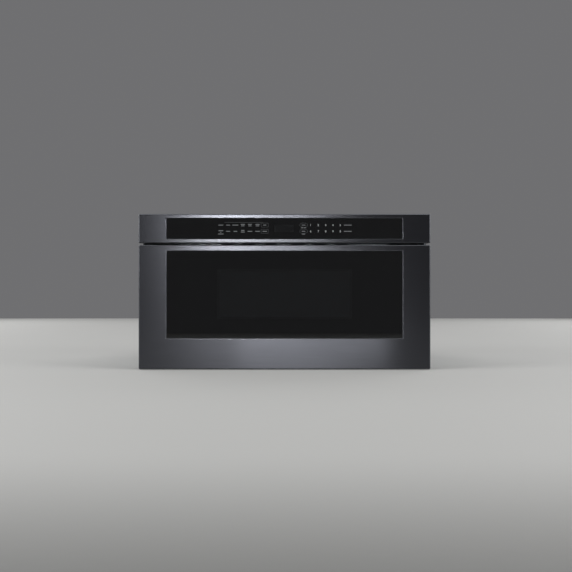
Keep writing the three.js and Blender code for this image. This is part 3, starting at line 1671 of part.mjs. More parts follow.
/** Glass floor of the drawer. */
function floorPlate() {
  const inset = sheet + oven.floorEdge;
  const shape = rounded(
    -boxHalf + inset,
    boxHalf - inset,
    boxFront + oven.floorEdge,
    boxBack - inset,
    0,
    oven.corner - inset + sheet,
  );
  const z0 = boxBottom + sheet + seat;
  return upright(shape, z0, z0 + oven.floorGlass, 3);
}

// ---------------------------------------------------------------- the whole unit

/** The left and the right copy of a handed piece. */
function pair(name, make, finish) {
  return [-1, 1].map((side) => piece(`${name}_${hand(side)}`, make(side), finish));
}

const chassis = assembly(
  piece('base_pan', basePan(), 'zinc'),
  ...pair('side_panel', sidePanel, 'zinc'),
  piece('back_panel', backPanel(), 'zinc'),
  piece('top_cover', topCover(), 'zinc'),
  piece('front_frame', frontFrame(), 'blackPaint'),
  piece('oven_cavity', ovenCavity(), 'greyEnamel'),
  ...pair('rail_bracket', railBracket, 'zinc'),
  ...pair('fixed_rail', fixedRail, 'zinc'),
  ...pair('interlock_switches', interlockSwitches, 'whitePlastic'),
  placed(
    piece('oven_lamp', ovenLamp(), 'whitePlastic'),
    [-cavityHalf - sheet - running, lampY, lampZ],
    [0, -Math.PI / 2, 0],
  ),
  placed(
    piece('cord_gland', cordGland(), 'blackPlastic'),
    [gland.x, backY, gland.z],
    [-Math.PI / 2, 0, 0],
  ),
);

const controls = assembly(
  piece('control_trim', controlTrim(), 'blackSteel'),
  piece('control_glass', frontGlass(panelGlass), 'blackGlass'),
  piece('display_module', displayModule(), 'blackPlastic'),
  piece('control_board', controlBoard(), 'board'),
  piece('control_tray', controlTray(), 'blackPlastic'),
);

const microwaveFeed = assembly(
  piece('waveguide', waveguide(), 'zinc'),
  piece('magnetron', magnetron(), 'aluminium'),
  piece('stirrer', stirrer(), 'aluminium'),
  piece('stirrer_motor', stirrerMotor(), 'zinc'),
  piece('stirrer_cover', stirrerCover(), 'mica'),
);

const power = assembly(
  piece('hv_transformer', transformer(), 'lamination'),
  piece('hv_capacitor', capacitor(), 'aluminium'),
  piece('noise_filter', noiseFilter(), 'board'),
);

const cooling = assembly(
  piece('fan_housing', fanHousing(), 'zinc'),
  piece('fan_impeller', fanImpeller(), 'blackPlastic'),
  piece('fan_motor', fanMotor(), 'lamination'),
  piece('air_duct', airDuct(), 'blackPlastic'),
);

const axle = assembly(
  piece('cross_axle', crossAxle(), 'stainless'),
  ...pair('pinion', pinion, 'whitePlastic'),
  piece('final_gear', finalGear(), 'whitePlastic'),
);

const driveTrain = assembly(
  placed(axle, [0, axleY, axleZ]),
  placed(piece('motor_pinion', motorPinion(), 'stainless'), [0, motorY, motorZ]),
  piece('drive_motor', driveMotor(), 'blackPlastic'),
  ...pair('axle_bush', axleBush, 'whitePlastic'),
  ...pair('middle_rail', middleRail, 'zinc'),
);

const drawer = assembly(
  piece('drawer_front', drawerFront(), 'blackSteel'),
  piece('door_glass', frontGlass(drawerGlass), 'blackGlass'),
  piece('door_back_plate', doorBackPlate(), 'zinc'),
  piece('choke_frame', chokeFrame(), 'greyEnamel'),
  piece('choke_cover', chokeCover(), 'blackPlastic'),
  piece('door_screen', doorScreen(), 'blackPaint'),
  piece('inner_window', innerWindow(), 'glass'),
  piece('drawer_box', drawerBox(), 'greyEnamel'),
  piece('floor_plate', floorPlate(), 'floorGlass'),
  ...pair('drawer_arm', drawerArm, 'zinc'),
  ...pair('inner_rail', innerRail, 'zinc'),
  ...pair('rack', rack, 'whitePlastic'),
  ...pair('latch_hook', latchHook, 'blackPlastic'),
);

export default assembly(chassis, controls, microwaveFeed, power, cooling, driveTrain, drawer);
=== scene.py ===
"""Looks of a built-in microwave drawer, dressed over its packed mechanical model.

Lengths inside the classes are millimetres, apart from those of the lamps and the view. Every
finished mesh is metres, with +Z up and the face looking along -Y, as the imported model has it.
"""
import json
import logging
import math
from collections.abc import Iterable, Sequence
from dataclasses import dataclass, field
from enum import Enum
from typing import Any

import bmesh
import bpy
from mathutils import Euler, Matrix, Vector

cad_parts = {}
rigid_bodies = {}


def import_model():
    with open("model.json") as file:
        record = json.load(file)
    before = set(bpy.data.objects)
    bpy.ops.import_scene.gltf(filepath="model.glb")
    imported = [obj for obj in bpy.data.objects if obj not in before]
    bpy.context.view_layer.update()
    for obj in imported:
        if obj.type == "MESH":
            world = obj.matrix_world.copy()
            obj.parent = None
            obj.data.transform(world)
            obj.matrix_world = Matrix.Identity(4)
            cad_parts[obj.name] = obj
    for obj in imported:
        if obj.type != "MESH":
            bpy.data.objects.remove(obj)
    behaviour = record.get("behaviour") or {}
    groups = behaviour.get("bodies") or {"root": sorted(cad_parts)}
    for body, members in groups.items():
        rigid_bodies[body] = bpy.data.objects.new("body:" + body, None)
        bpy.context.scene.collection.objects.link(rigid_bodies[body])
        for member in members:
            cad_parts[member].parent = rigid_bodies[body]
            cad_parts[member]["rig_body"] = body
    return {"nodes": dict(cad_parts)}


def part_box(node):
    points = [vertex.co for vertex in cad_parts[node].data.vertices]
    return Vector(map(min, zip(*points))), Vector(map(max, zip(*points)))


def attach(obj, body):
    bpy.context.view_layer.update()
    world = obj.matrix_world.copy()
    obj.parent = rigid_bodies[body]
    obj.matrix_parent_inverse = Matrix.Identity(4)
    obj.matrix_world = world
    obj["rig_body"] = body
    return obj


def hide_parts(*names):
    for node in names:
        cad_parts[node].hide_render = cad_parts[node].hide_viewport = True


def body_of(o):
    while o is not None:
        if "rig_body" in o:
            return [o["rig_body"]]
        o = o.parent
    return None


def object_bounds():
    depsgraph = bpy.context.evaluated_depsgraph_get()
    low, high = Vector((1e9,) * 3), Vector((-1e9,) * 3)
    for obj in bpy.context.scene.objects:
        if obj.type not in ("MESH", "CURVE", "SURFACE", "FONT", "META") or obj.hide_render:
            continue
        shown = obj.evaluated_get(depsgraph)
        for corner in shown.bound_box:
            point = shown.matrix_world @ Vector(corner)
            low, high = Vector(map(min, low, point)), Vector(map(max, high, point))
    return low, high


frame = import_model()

LOG = logging.getLogger("drawer")
METRE = 0.001
CAD_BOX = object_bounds()

# Names of the map that follows the brushing, of the mark of the painted highlight on rounded edges and of the
# angles of screws.
GRAIN = "grain"
EDGE_HIGHLIGHT = "edge_highlight"
TURN = "turn"

Point = tuple[float, float, float]
Span = tuple[float, float]
Stops = Sequence[tuple[float, str]]
Inputs = dict[str | int, Any]
Mesh = bpy.types.Mesh
Node = bpy.types.Node
Socket = bpy.types.NodeSocket
Thing = bpy.types.Object
Tree = bpy.types.NodeTree


class Axis(Enum):
    """Axis that the marks of a metal run across."""

    X = 0
    Z = 2


class Side(Enum):
    """Side of the chassis that a screw stands on, as the angles that turn +Z to it."""

    LEFT = (0.0, -math.pi / 2, 0.0)
    RIGHT = (0.0, math.pi / 2, 0.0)
    BACK = (-math.pi / 2, 0.0, 0.0)
    TOP = (0.0, 0.0, 0.0)


# ---------------------------------------------------------------- nodes and finishes


def linear(code: str) -> tuple[float, float, float, float]:
    """Turns an sRGB hex colour into linear values.

    Args:
        code: Colour as "#rrggbb".

    Returns:
        Red, green and blue, linear, and a full alpha.
    """
    parts = [int(code[i:i + 2], 16) / 255 for i in (1, 3, 5)]
    red, green, blue = (c / 12.92 if c <= 0.04045 else ((c + 0.055) / 1.055) ** 2.4 for c in parts)
    return red, green, blue, 1.0


def add_node(tree: Tree, kind: str, inputs: Inputs | None = None, stops: Stops = (), **settings: Any) -> Node:
    """Adds one node, sets its properties, and fills or links its inputs.

    Args:
        tree: Tree that gets the node.
        kind: Node type, such as "ShaderNodeTexNoise".
        inputs: Values or sources, by input name or number. A source is a socket, a node that gives
            its first output, or a list of them.
        stops: Positions and sRGB hex colours of a colour ramp, in order.
        **settings: Properties of the node itself.

    Returns:
        The new node.
    """
    node = tree.nodes.new(kind)
    for key, value in settings.items():
        setattr(node, key, value)
    for key, given in (inputs or {}).items():
        for value in given if isinstance(given, list) else [given]:
            if isinstance(value, Node):
                value = value.outputs[0]
            if isinstance(value, Socket):
                tree.links.new(value, node.inputs[key])
            else:
                node.inputs[key].default_value = value
    for number, (position, code) in enumerate(stops):
        marks = node.color_ramp.elements
        mark = marks[number] if number < len(marks) else marks.new(position)
        mark.position, mark.color = position, linear(code)
    return node


def in_cells(tree: Tree, *sizes: float) -> Node:
    """Measures the piece's own coordinates in cells of a pattern.

    Args:
        tree: Tree that gets the nodes.
        *sizes: Size of a cell in millimetres, one for all axes or one for each.

    Returns:
        The node that gives the coordinates.
    """
    where = add_node(tree, "ShaderNodeTexCoord").outputs["Object"]
    scale = tuple(1 / (METRE * size) for size in sizes) * (3 // len(sizes))
    return add_node(tree, "ShaderNodeMapping", {"Vector": where, "Scale": scale})


# Places of the first input, the second input and the output that a Mix node uses for its data.
MIX_VECTOR = (4, 5, 1)
MIX_COLOUR = (6, 7, 2)
# Noises of one wave for each cell, with three or two finer ones over it.
FINE = {"Scale": 1.0, "Detail": 3.0}
SOFT = {"Scale": 1.0, "Detail": 2.0}
# Values of a noise that get the dark and the light tone. Those beyond them are rare.
DARK_END, LIGHT_END = 0.3, 0.7
# Scale at which a Wave texture has one band for each cell.
ONE_BAND = 0.314


@dataclass(frozen=True)
class Finish:
    """A surface with a name, a record slot and one way of being made."""

    name: str
    slot: str
    roughness: Span = (0.4, 0.5)
    metallic: float = 0.0
    relief: float = 0.0

    def material(self) -> bpy.types.Material:
        """Builds the finish's material where it doesn't exist yet.

        Returns:
            The material.
        """
        made = bpy.data.materials.get(self.name)
        if made:
            return made
        made = bpy.data.materials.new(self.name)
        made.use_nodes = True
        tree = made.node_tree
        tree.nodes.clear()
        shader = add_node(tree, "ShaderNodeBsdfPrincipled", self.dress(tree))
        add_node(tree, "ShaderNodeOutputMaterial", {"Surface": shader})
        return made

    def dress(self, tree: Tree) -> Inputs:
        """Makes the finish's patterns and returns what the shader's inputs get.

        Args:
            tree: The material's tree.

        Returns:
            Values and sources by the shader's input names.
        """
        raise NotImplementedError

    def face(
        self,
        tree: Tree,
        gloss: Node | Socket,
        tone: Node | Socket | None = None,
        stops: Stops = (),
        height: Node | Socket | None = None,
    ) -> Inputs:
        """Lets the shader follow patterns whose values run from 0 to 1.

        Args:
            tree: The material's tree.
            gloss: Pattern that runs over the range of roughness.
            tone: Pattern that picks the colour, where it isn't even.
            stops: Values of the tone with their sRGB hex colours, in order.
            height: Pattern of the relief, where there is one.

        Returns:
            Values and sources by the shader's input names.
        """
        low, high = self.roughness
        rough = add_node(tree, "ShaderNodeMapRange", {"Value": gloss, "To Min": low, "To Max": high})
        made: Inputs = {"Roughness": rough, "Metallic": self.metallic}
        if tone is not None:
            made["Base Color"] = add_node(tree, "ShaderNodeValToRGB", {"Fac": tone}, stops)
        if height is not None:
            depth = self.relief * METRE
            made["Normal"] = add_node(tree, "ShaderNodeBump", {"Height": height, "Distance": depth})
        return made


@dataclass(frozen=True)
class BrushedSteel(Finish):
    """Stainless steel sheet, brushed with an abrasive belt along its length.

    The belt leaves scratches that run across the front, so a lamp is drawn out up and down.
    The scratches are 0.1 mm wide on the real sheet and are drawn 0.8 mm wide to show.
    The rounded edges are lighter: a painted highlight of the light that they catch.
    """

    roughness: Span = (0.189, 0.203)
    metallic: float = 1.0
    relief: float = 0.0025
    dark: str = "#434448"
    light: str = "#4b4c51"
    # Painted highlight colour of the rounded edges.
    bent: str = "#6c6e73"
    scratch: float = 0.8
    length: float = 120.0
    harshness: float = 0.6
    stretch: float = 0.7

    def dress(self, tree: Tree) -> Inputs:
        """Streaks that follow the piece's own grain map.

        Args:
            tree: The material's tree.

        Returns:
            Values and sources by the shader's input names.
        """
        grain = add_node(tree, "ShaderNodeUVMap", uv_map=GRAIN)
        cells = (1 / (METRE * self.scratch), 1 / (METRE * self.length), 1)
        lines = add_node(tree, "ShaderNodeMapping", {"Vector": grain, "Scale": cells})
        noise = {"Vector": lines, **FINE, "Roughness": self.harshness}
        streak = add_node(tree, "ShaderNodeTexNoise", noise, noise_dimensions="2D")
        stops = [(DARK_END, self.dark), (LIGHT_END, self.light)]
        made = self.face(tree, streak, streak, stops, streak)
        # The edge mark mixes the painted highlight colour over the streaks.
        edge_highlight = add_node(tree, "ShaderNodeAttribute", attribute_name=EDGE_HIGHLIGHT).outputs["Fac"]
        flat, bent, mixed = MIX_COLOUR
        tones = {"Factor": edge_highlight, flat: made["Base Color"], bent: linear(self.bent)}
        made["Base Color"] = add_node(tree, "ShaderNodeMix", tones, data_type="RGBA").outputs[mixed]
        made["Tangent"] = add_node(tree, "ShaderNodeTangent", direction_type="UV_MAP", uv_map=GRAIN)
        made["Anisotropic"] = self.stretch
        return made


@dataclass(frozen=True)
class SheetGlass(Finish):
    """Float glass, tempered. It's clear or tinted in the mass, and finger marks dull it a little."""

    roughness: Span = (0.0, 0.015)
    tint: str = "#ffffff"
    ior: float = 1.52
    mark: float = 60.0
    smears: float = 4.0

    def dress(self, tree: Tree) -> Inputs:
        """Clear body with a faintly uneven gloss.

        Args:
            tree: The material's tree.

        Returns:
            Values and sources by the shader's input names.
        """
        noise = {"Vector": in_cells(tree, self.mark), **FINE, "Detail": self.smears}
        made = self.face(tree, add_node(tree, "ShaderNodeTexNoise", noise))
        return made | {"Base Color": linear(self.tint), "Transmission Weight": 1.0, "IOR": self.ior}


@dataclass(frozen=True)
class ZincCoat(Finish):
    """Hot-dip galvanised sheet. The zinc freezes in flat crystals, each with its own sheen."""

    roughness: Span = (0.435, 0.47)
    metallic: float = 1.0
    relief: float = 0.02
    dull: str = "#a0a5a8"
    bright: str = "#abb0b3"
    crystal: float = 11.0
    waves: float = 2.2
    wander: float = 0.12
    pits: float = 9.0

    def dress(self, tree: Tree) -> Inputs:
        """Crystals from cells whose edges are bent by noise.

        Args:
            tree: The material's tree.

        Returns:
            Values and sources by the shader's input names.
        """
        where = in_cells(tree, self.crystal)
        noise = add_node(tree, "ShaderNodeTexNoise", {"Vector": where, **SOFT, "Scale": self.waves})
        straight, wavy, mixed = MIX_VECTOR
        places = {"Factor": self.wander, straight: where, wavy: noise.outputs["Color"]}
        bent = add_node(tree, "ShaderNodeMix", places, data_type="VECTOR").outputs[mixed]
        cell = add_node(tree, "ShaderNodeTexVoronoi", {"Vector": bent, "Scale": 1.0})
        shade = add_node(tree, "ShaderNodeSeparateColor", {"Color": cell.outputs["Color"]})
        fine = add_node(tree, "ShaderNodeTexNoise", {"Vector": where, **FINE, "Scale": self.pits})
        return self.face(tree, shade, shade, [(0.0, self.dull), (1.0, self.bright)], fine)


@dataclass(frozen=True)
class Coating(Finish):
    """Paint, powder, enamel or moulded plastic: an even colour with a relief and fine specks."""

    relief: float = 0.02
    colour: str = "#808080"
    speck: str = "#707070"
    speck_from: float = 0.6625
    speck_edge: float = 0.08
    grain: float = 1.2
    drift: float = 0.03
    coat: float = 0.0
    coat_roughness: float = 0.12
    gloss: float = 0.5

    def dress(self, tree: Tree) -> Inputs:
        """Orange peel or mould texture with specks on its peaks, over a slow drift of gloss.

        Args:
            tree: The material's tree.

        Returns:
            Values and sources by the shader's input names.
        """
        where = in_cells(tree, self.grain)
        peel = add_node(tree, "ShaderNodeTexNoise", {"Vector": where, **FINE})
        drift = add_node(tree, "ShaderNodeTexNoise", {"Vector": where, **SOFT, "Scale": self.drift})
        low, high = self.speck_from - self.speck_edge, self.speck_from + self.speck_edge
        made = self.face(tree, drift, peel, [(low, self.colour), (high, self.speck)], peel)
        coat = {"Coat Weight": self.coat, "Coat Roughness": self.coat_roughness}
        return made | coat | {"Specular IOR Level": self.gloss}


@dataclass(frozen=True)
class FiredInk(Coating):
    """Ceramic ink, screen printed on the glass and fired. It's one with the glass, so it has no gloss."""

    roughness: Span = (0.5, 0.6)
    relief: float = 0.002
    grain: float = 0.4
    gloss: float = 0.0


@dataclass(frozen=True)
class RolledMetal(Finish):
    """Rolled, ground or turned metal with fine parallel marks across one axis."""

    roughness: Span = (0.28, 0.4)
    metallic: float = 1.0
    relief: float = 0.006
    dull: str = "#9a9c9e"
    bright: str = "#b9bbbd"
    across: Axis = Axis.Z
    mark: float = 0.6
    length: float = 60.0

    def dress(self, tree: Tree) -> Inputs:
        """Fine marks, close together across the axis and long beside it.

        Args:
            tree: The material's tree.

        Returns:
            Values and sources by the shader's input names.
        """
        size = [self.length] * 3
        size[self.across.value] = self.mark
        noise = add_node(tree, "ShaderNodeTexNoise", {"Vector": in_cells(tree, *size), **FINE})
        return self.face(tree, noise, noise, [(DARK_END, self.dull), (LIGHT_END, self.bright)], noise)


@dataclass(frozen=True)
class SteelStack(Finish):
    """Varnished stack of silicon-steel sheets. The sheets are 0.5 mm and are drawn 1 mm to show."""

    roughness: Span = (0.3, 0.5)
    metallic: float = 0.85
    relief: float = 0.06
    dull: str = "#3c3f42"
    bright: str = "#6b6f72"
    across: Axis = Axis.X
    sheet: float = 1.0
    wobble: float = 0.3
    stains: float = 0.09
    dull_to: float = 0.1
    bright_from: float = 0.6
    varnish: float = 0.4

    def dress(self, tree: Tree) -> Inputs:
        """Sheet edges as bands along one axis, under a thin varnish.

        Args:
            tree: The material's tree.

        Returns:
            Values and sources by the shader's input names.
        """
        where = in_cells(tree, self.sheet)
        wave = {"Vector": where, "Scale": ONE_BAND, "Distortion": self.wobble}
        bands = add_node(tree, "ShaderNodeTexWave", wave, bands_direction=self.across.name).outputs["Fac"]
        stain = add_node(tree, "ShaderNodeTexNoise", {"Vector": where, **FINE, "Scale": self.stains})
        tone = add_node(tree, "ShaderNodeMath", {0: bands, 1: stain}, operation="MULTIPLY")
        stops = [(self.dull_to, self.dull), (self.bright_from, self.bright)]
        made = self.face(tree, stain, tone, stops, bands)
        return made | {"Coat Weight": self.varnish}


@dataclass(frozen=True)
class MicaSheet(Finish):
    """Pressed phlogopite mica. Thin flakes overlap and give a pearly, layered grey-brown."""

    roughness: Span = (0.25, 0.45)
    metallic: float = 0.25
    relief: float = 0.03
    tones: tuple[str, str, str] = ("#6f675a", "#8b8373", "#a59d8c")
    flake: float = 7.0
    reach: float = 40.0
    sheen: float = 0.3

    def dress(self, tree: Tree) -> Inputs:
        """Overlapping flakes, each with its own tone.

        Args:
            tree: The material's tree.

        Returns:
            Values and sources by the shader's input names.
        """
        where = in_cells(tree, self.flake, self.flake, self.reach)
        cell = add_node(tree, "ShaderNodeTexVoronoi", {"Vector": where, "Scale": 1.0})
        shade = add_node(tree, "ShaderNodeSeparateColor", {"Color": cell.outputs["Color"]}).outputs["Green"]
        made = self.face(tree, shade, shade, list(zip((0.0, 0.5, 1.0), self.tones)), cell)
        return made | {"Sheen Weight": self.sheen}


@dataclass(frozen=True)
class PaintedFloor(Finish):
    """Studio floor, pale round the piece and grey in front of it: a painted pool of light that falls off
    towards the camera. Its lengths are metres.
    """

    roughness: Span = (0.6, 0.75)
    pale: str = "#e2e2df"
    grey: str = "#7f7f7d"
    # Depths in y where the painted falloff from pale to grey starts and ends.
    near: float = -1.5
    far: float = -2.5
    roller: float = 60.0
    gloss: float = 0.2

    def dress(self, tree: Tree) -> Inputs:
        """Roller texture and the painted falloff from the pale tone to the grey along y.

        Args:
            tree: The material's tree.

        Returns:
            Values and sources by the shader's input names.
        """
        where = in_cells(tree, 1 / METRE)
        depth = add_node(tree, "ShaderNodeSeparateXYZ", {"Vector": where}).outputs["Y"]
        ends = {"Value": depth, "From Min": self.far, "From Max": self.near}
        painted_falloff = add_node(tree, "ShaderNodeMapRange", ends, interpolation_type="SMOOTHSTEP")
        roller = add_node(tree, "ShaderNodeTexNoise", {"Vector": where, **FINE, "Scale": self.roller})
        made = self.face(tree, roller, painted_falloff, [(0.0, self.grey), (1.0, self.pale)])
        return made | {"Specular IOR Level": self.gloss}


@dataclass(frozen=True)
class GlassFibreBoard(Finish):
    """Circuit board of woven glass fibre under green solder mask, with copper tracks below it."""

    roughness: Span = (0.25, 0.4)
    relief: float = 0.03
    mask: str = "#12351f"
    track: str = "#1c4d2c"
    mask_to: float = 0.45
    track_from: float = 0.52
    grid: float = 4.0
    lacquer: float = 0.5

    def dress(self, tree: Tree) -> Inputs:
        """Tracks as a grid of cells under the glossy mask.

        Args:
            tree: The material's tree.

        Returns:
            Values and sources by the shader's input names.
        """
        texture = {"Vector": in_cells(tree, self.grid), "Scale": 1.0}
        cell = add_node(tree, "ShaderNodeTexVoronoi", texture, distance="CHEBYCHEV")
        stops = [(self.mask_to, self.mask), (self.track_from, self.track)]
        return self.face(tree, cell, cell, stops, cell) | {"Coat Weight": self.lacquer}


BLACK_STAINLESS = BrushedSteel("brushed_black_stainless", "black_stainless")
TINTED_GLASS = SheetGlass("tempered_grey_glass", "black_glass", tint="#a6a9ac")
# Border behind the glass, dead black, so the glass alone shines.
BLACK_PRINT = FiredInk("fired_black_print", "black_glass", colour="#050506", speck="#08080a", grain=0.5)
# Pale grey ink of the key legends, fired on the face of the glass, in three strengths.
LEGEND_PRINT = FiredInk("fired_pale_legend", "white_plastic", colour="#cfd1d3", speck="#c4c6c8")
WORD_PRINT = FiredInk("fired_grey_legend", "white_plastic", colour="#96989b", speck="#8c8e91")
DIM_LEGEND = FiredInk("fired_dim_legend", "white_plastic", colour="#6e7073", speck="#66686b")
# Smoke-grey filter over an unlit display.
DISPLAY_FILTER = Coating(
    "display_filter", "black_plastic", (0.25, 0.3), relief=0.002, colour="#3a3c3b", speck="#333534",
    grain=1.0,
)
ZINC = ZincCoat("galvanised_sheet_steel", "zinc_steel")
# Polyester powder, cured on steel: fine orange peel, half matt.
BLACK_POWDER = Coating(
    "black_powder_coat", "black_paint", (0.4, 0.5), relief=0.03, colour="#121315", speck="#17181a", grain=1.6,
)
# Black nickel over the front frame's steel, with the marks of the rolling mill under it.
DARK_NICKEL = RolledMetal(
    "black_nickel_plate", "black_paint", (0.26, 0.34), dull="#989b9f", bright="#a8abaf", mark=1.2,
    length=150.0,
)
# Thin heat-proof enamel of the window's screen, a charcoal that shows against the dark behind it.
SCREEN_ENAMEL = Coating(
    "charcoal_screen_enamel", "black_paint", (0.35, 0.42), relief=0.004, colour="#3b3c3e", speck="#434446",
    grain=0.8,
)
# Baked acrylic enamel of the oven, light grey with fine specks and a smooth gloss.
OVEN_ENAMEL = Coating(
    "grey_baked_enamel", "grey_enamel", (0.22, 0.3), relief=0.008, colour="#8e9193", speck="#777a7c",
    grain=1.1, coat=0.5,
)
CLEAR_GLASS = SheetGlass("clear_float_glass", "clear_glass", tint="#eef4f2")
# Glass ceramic of the drawer's floor, dull on top where it has been ground.
FLOOR_GLASS = SheetGlass("satin_floor_glass", "floor_glass", (0.18, 0.26), tint="#dfe5e4")
# Polybutylene terephthalate from a spark-eroded mould: fine even texture.
BLACK_PLASTIC = Coating(
    "moulded_black_pbt", "black_plastic", (0.42, 0.5), relief=0.015, colour="#18191b", speck="#1e1f21",
    grain=0.7,
)
# Acetal, milled or moulded: waxy white with a soft gloss.
ACETAL = Coating(
    "moulded_white_acetal", "white_plastic", (0.3, 0.38), relief=0.008, colour="#d9d8d2", speck="#d0cfc8",
    grain=1.0,
)
MICA = MicaSheet("pressed_mica", "mica")
BOARD = GlassFibreBoard("solder_masked_board", "circuit_board")
ALUMINIUM = RolledMetal("rolled_aluminium", "aluminium", dull="#b6b8ba", bright="#d0d2d3")
# Shafts and gears, turned and ground: fine marks that run round them, half bright.
GROUND_STEEL = RolledMetal(
    "ground_steel", "ground_steel", dull="#8a8c8e", bright="#a9abad", across=Axis.X, mark=0.5,
)
STEEL_STACK = SteelStack("silicon_steel_stack", "lamination")
# Case-hardened screws, zinc plated and blue passivated: bright with a blue cast.
SCREW_ZINC = RolledMetal(
    "blue_passivated_zinc", "galvanised_rail", dull="#a4abb3", bright="#c3c9cf", mark=0.4, length=2.0,
)
# Cold-rolled steel, zinc plated and clear passivated: bright, faintly blue, rolled along y.
RAIL_STEEL = RolledMetal(
    "zinc_plated_rail", "galvanised_rail", dull="#a0a6ac", bright="#bcc2c7", mark=0.8, length=200.0,
)

CARRIED = [
    BLACK_STAINLESS, TINTED_GLASS, ZINC, BLACK_POWDER, OVEN_ENAMEL, CLEAR_GLASS, FLOOR_GLASS, BLACK_PLASTIC,
    ACETAL, MICA, BOARD, ALUMINIUM, GROUND_STEEL, STEEL_STACK, RAIL_STEEL,
]


# ---------------------------------------------------------------- shapes

# Largest angle in degrees between faces that are shaded as one, on rounded and on flat pieces.
ROUNDED = 32.0
FLAT = 20.0
HEXAGON = 6
# Turn that stands a flat shape up to face the front.
UPRIGHT = Matrix.Rotation(math.pi / 2, 4, "X")
# Facets of a ring's corner, and the height of its two side points above the lower corners.
CORNER_FACETS = 4
LEDGE = 1.0


def ring(
    half: float, low: float, high: float, radius: float, y: float, middle: Span = (0.0, 0.0)
) -> list[Point]:
    """Rounded rectangle across y, with one more point on each side just above the lower corners.

    Args:
        half: Half of the width.
        low: Lowest z.
        high: Highest z.
        radius: Corner radius.
        y: Depth of the ring.
        middle: Way that the ring is moved along x and z.

    Returns:
        Points, anticlockwise seen from the front.
    """
    points: list[Span] = []
    low_z, high_z = low + radius, high - radius
    for side, z, start in ((1, low_z, 270), (1, high_z, 0), (-1, high_z, 90), (-1, low_z, 180)):
        for facet in range(CORNER_FACETS + 1):
            angle = math.radians(start + 90 * facet / CORNER_FACETS)
            points.append((side * (half - radius) + radius * math.cos(angle), z + radius * math.sin(angle)))
    for corner, side in ((3, -1), (1, 1)):
        points.insert(corner * (CORNER_FACETS + 1), (side * half, low_z + LEDGE))
    return [(middle[0] + x, y, middle[1] + z) for x, z in points]


class Form:
    """Closed shells in millimetres, gathered into one piece."""

    weld: float = 0.0005

    def __init__(self) -> None:
        """Starts empty."""
        self.mesh = bmesh.new()

    def loft(self, rings: Sequence[Sequence[Point]], closed: bool = False) -> "Form":
        """Joins rings of equal count, in order.

        Args:
            rings: Rings of points.
            closed: Joins the last ring to the first instead of capping both.

        Returns:
            The form itself.
        """
        made = [[self.mesh.verts.new(p) for p in points] for points in rings]
        count = len(made[0])
        pairs = list(zip(made, made[1:])) + ([(made[-1], made[0])] if closed else [])
        for one, two in pairs:
            for i in range(count):
                j = (i + 1) % count
                self.mesh.faces.new((one[i], one[j], two[j], two[i]))
        if not closed:
            self.mesh.faces.new(list(reversed(made[0])))
            self.mesh.faces.new(made[-1])
        return self

    def block(self, low: Point, high: Point) -> "Form":
        """Adds a block.

        Args:
            low: Lowest corner.
            high: Highest corner.

        Returns:
            The form itself.
        """
        size = [b - a for a, b in zip(low, high)]
        middle = [(a + b) / 2 for a, b in zip(low, high)]
        place = Matrix.Translation(middle) @ Matrix.Diagonal((*size, 1))
        bmesh.ops.create_cube(self.mesh, size=1, matrix=place)
        return self

    def add(self, mesh: Mesh, place: Matrix) -> None:
        """Adds a ready mesh.

        Args:
            mesh: Mesh, which stays as it is.
            place: Matrix in millimetres that moves it.
        """
        copy = mesh.copy()
        copy.transform(place)
        self.mesh.from_mesh(copy)
        bpy.data.meshes.remove(copy)

    def in_metres(self, name: str) -> Mesh:
        """Ends the form, with its points welded and its faces pointing outwards.

        Args:
            name: Name of the mesh.

        Returns:
            The mesh, in metres.
        """
        bmesh.ops.remove_doubles(self.mesh, verts=self.mesh.verts, dist=self.weld)
        bmesh.ops.recalc_face_normals(self.mesh, faces=self.mesh.faces)
        bmesh.ops.scale(self.mesh, vec=(METRE,) * 3, verts=self.mesh.verts)
        mesh = bpy.data.meshes.new(name)
        self.mesh.to_mesh(mesh)
        self.mesh.free()
        return mesh


def place_piece(
    name: str,
    shape: Form | Mesh,
    finish: Finish,
    body: str,
    replaces: Iterable[str] = (),
    smooth: float = ROUNDED,
) -> Thing:
    """Shades a piece, gives it its finish and grain map, and lets it ride on its body.

    Args:
        name: Name of the piece.
        shape: Form, or mesh in metres, in place.
        finish: Finish of the piece.
        body: Body that it rides on.
        replaces: Nodes that it stands for.
        smooth: Largest angle between faces that are shaded as one, in degrees.

    Returns:
        The new object, at the origin.
    """
    mesh = shape.in_metres(name) if isinstance(shape, Form) else shape
    mesh.shade_smooth()
    mesh.set_sharp_from_angle(angle=math.radians(smooth))
    steady_normals(mesh)
    mesh.materials.clear()
    mesh.materials.append(finish.material())
    if isinstance(finish, BrushedSteel):
        lay_grain(mesh)
    piece = bpy.data.objects.new(name, mesh)
    bpy.context.scene.collection.objects.link(piece)
    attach(piece, body)
    if replaces:
        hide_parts(*replaces)
    LOG.info("%s: %d faces on %s", name, len(mesh.polygons), body)
    return piece


class Groups:
    """Numbered things that are joined into groups."""

    def __init__(self, count: int) -> None:
        """Starts with each thing in a group of its own."""
        self.above = list(range(count))

    def top(self, item: int) -> int:
        """Finds the group of an item.

        Args:
            item: Number of the item.

        Returns:
            Number that stands for the group.
        """
        while self.above[item] != item:
            self.above[item] = self.above[self.above[item]]
            item = self.above[item]
        return item

    def join(self, first: int, second: int) -> None:
        """Joins the groups of two items."""
        self.above[self.top(first)] = self.top(second)


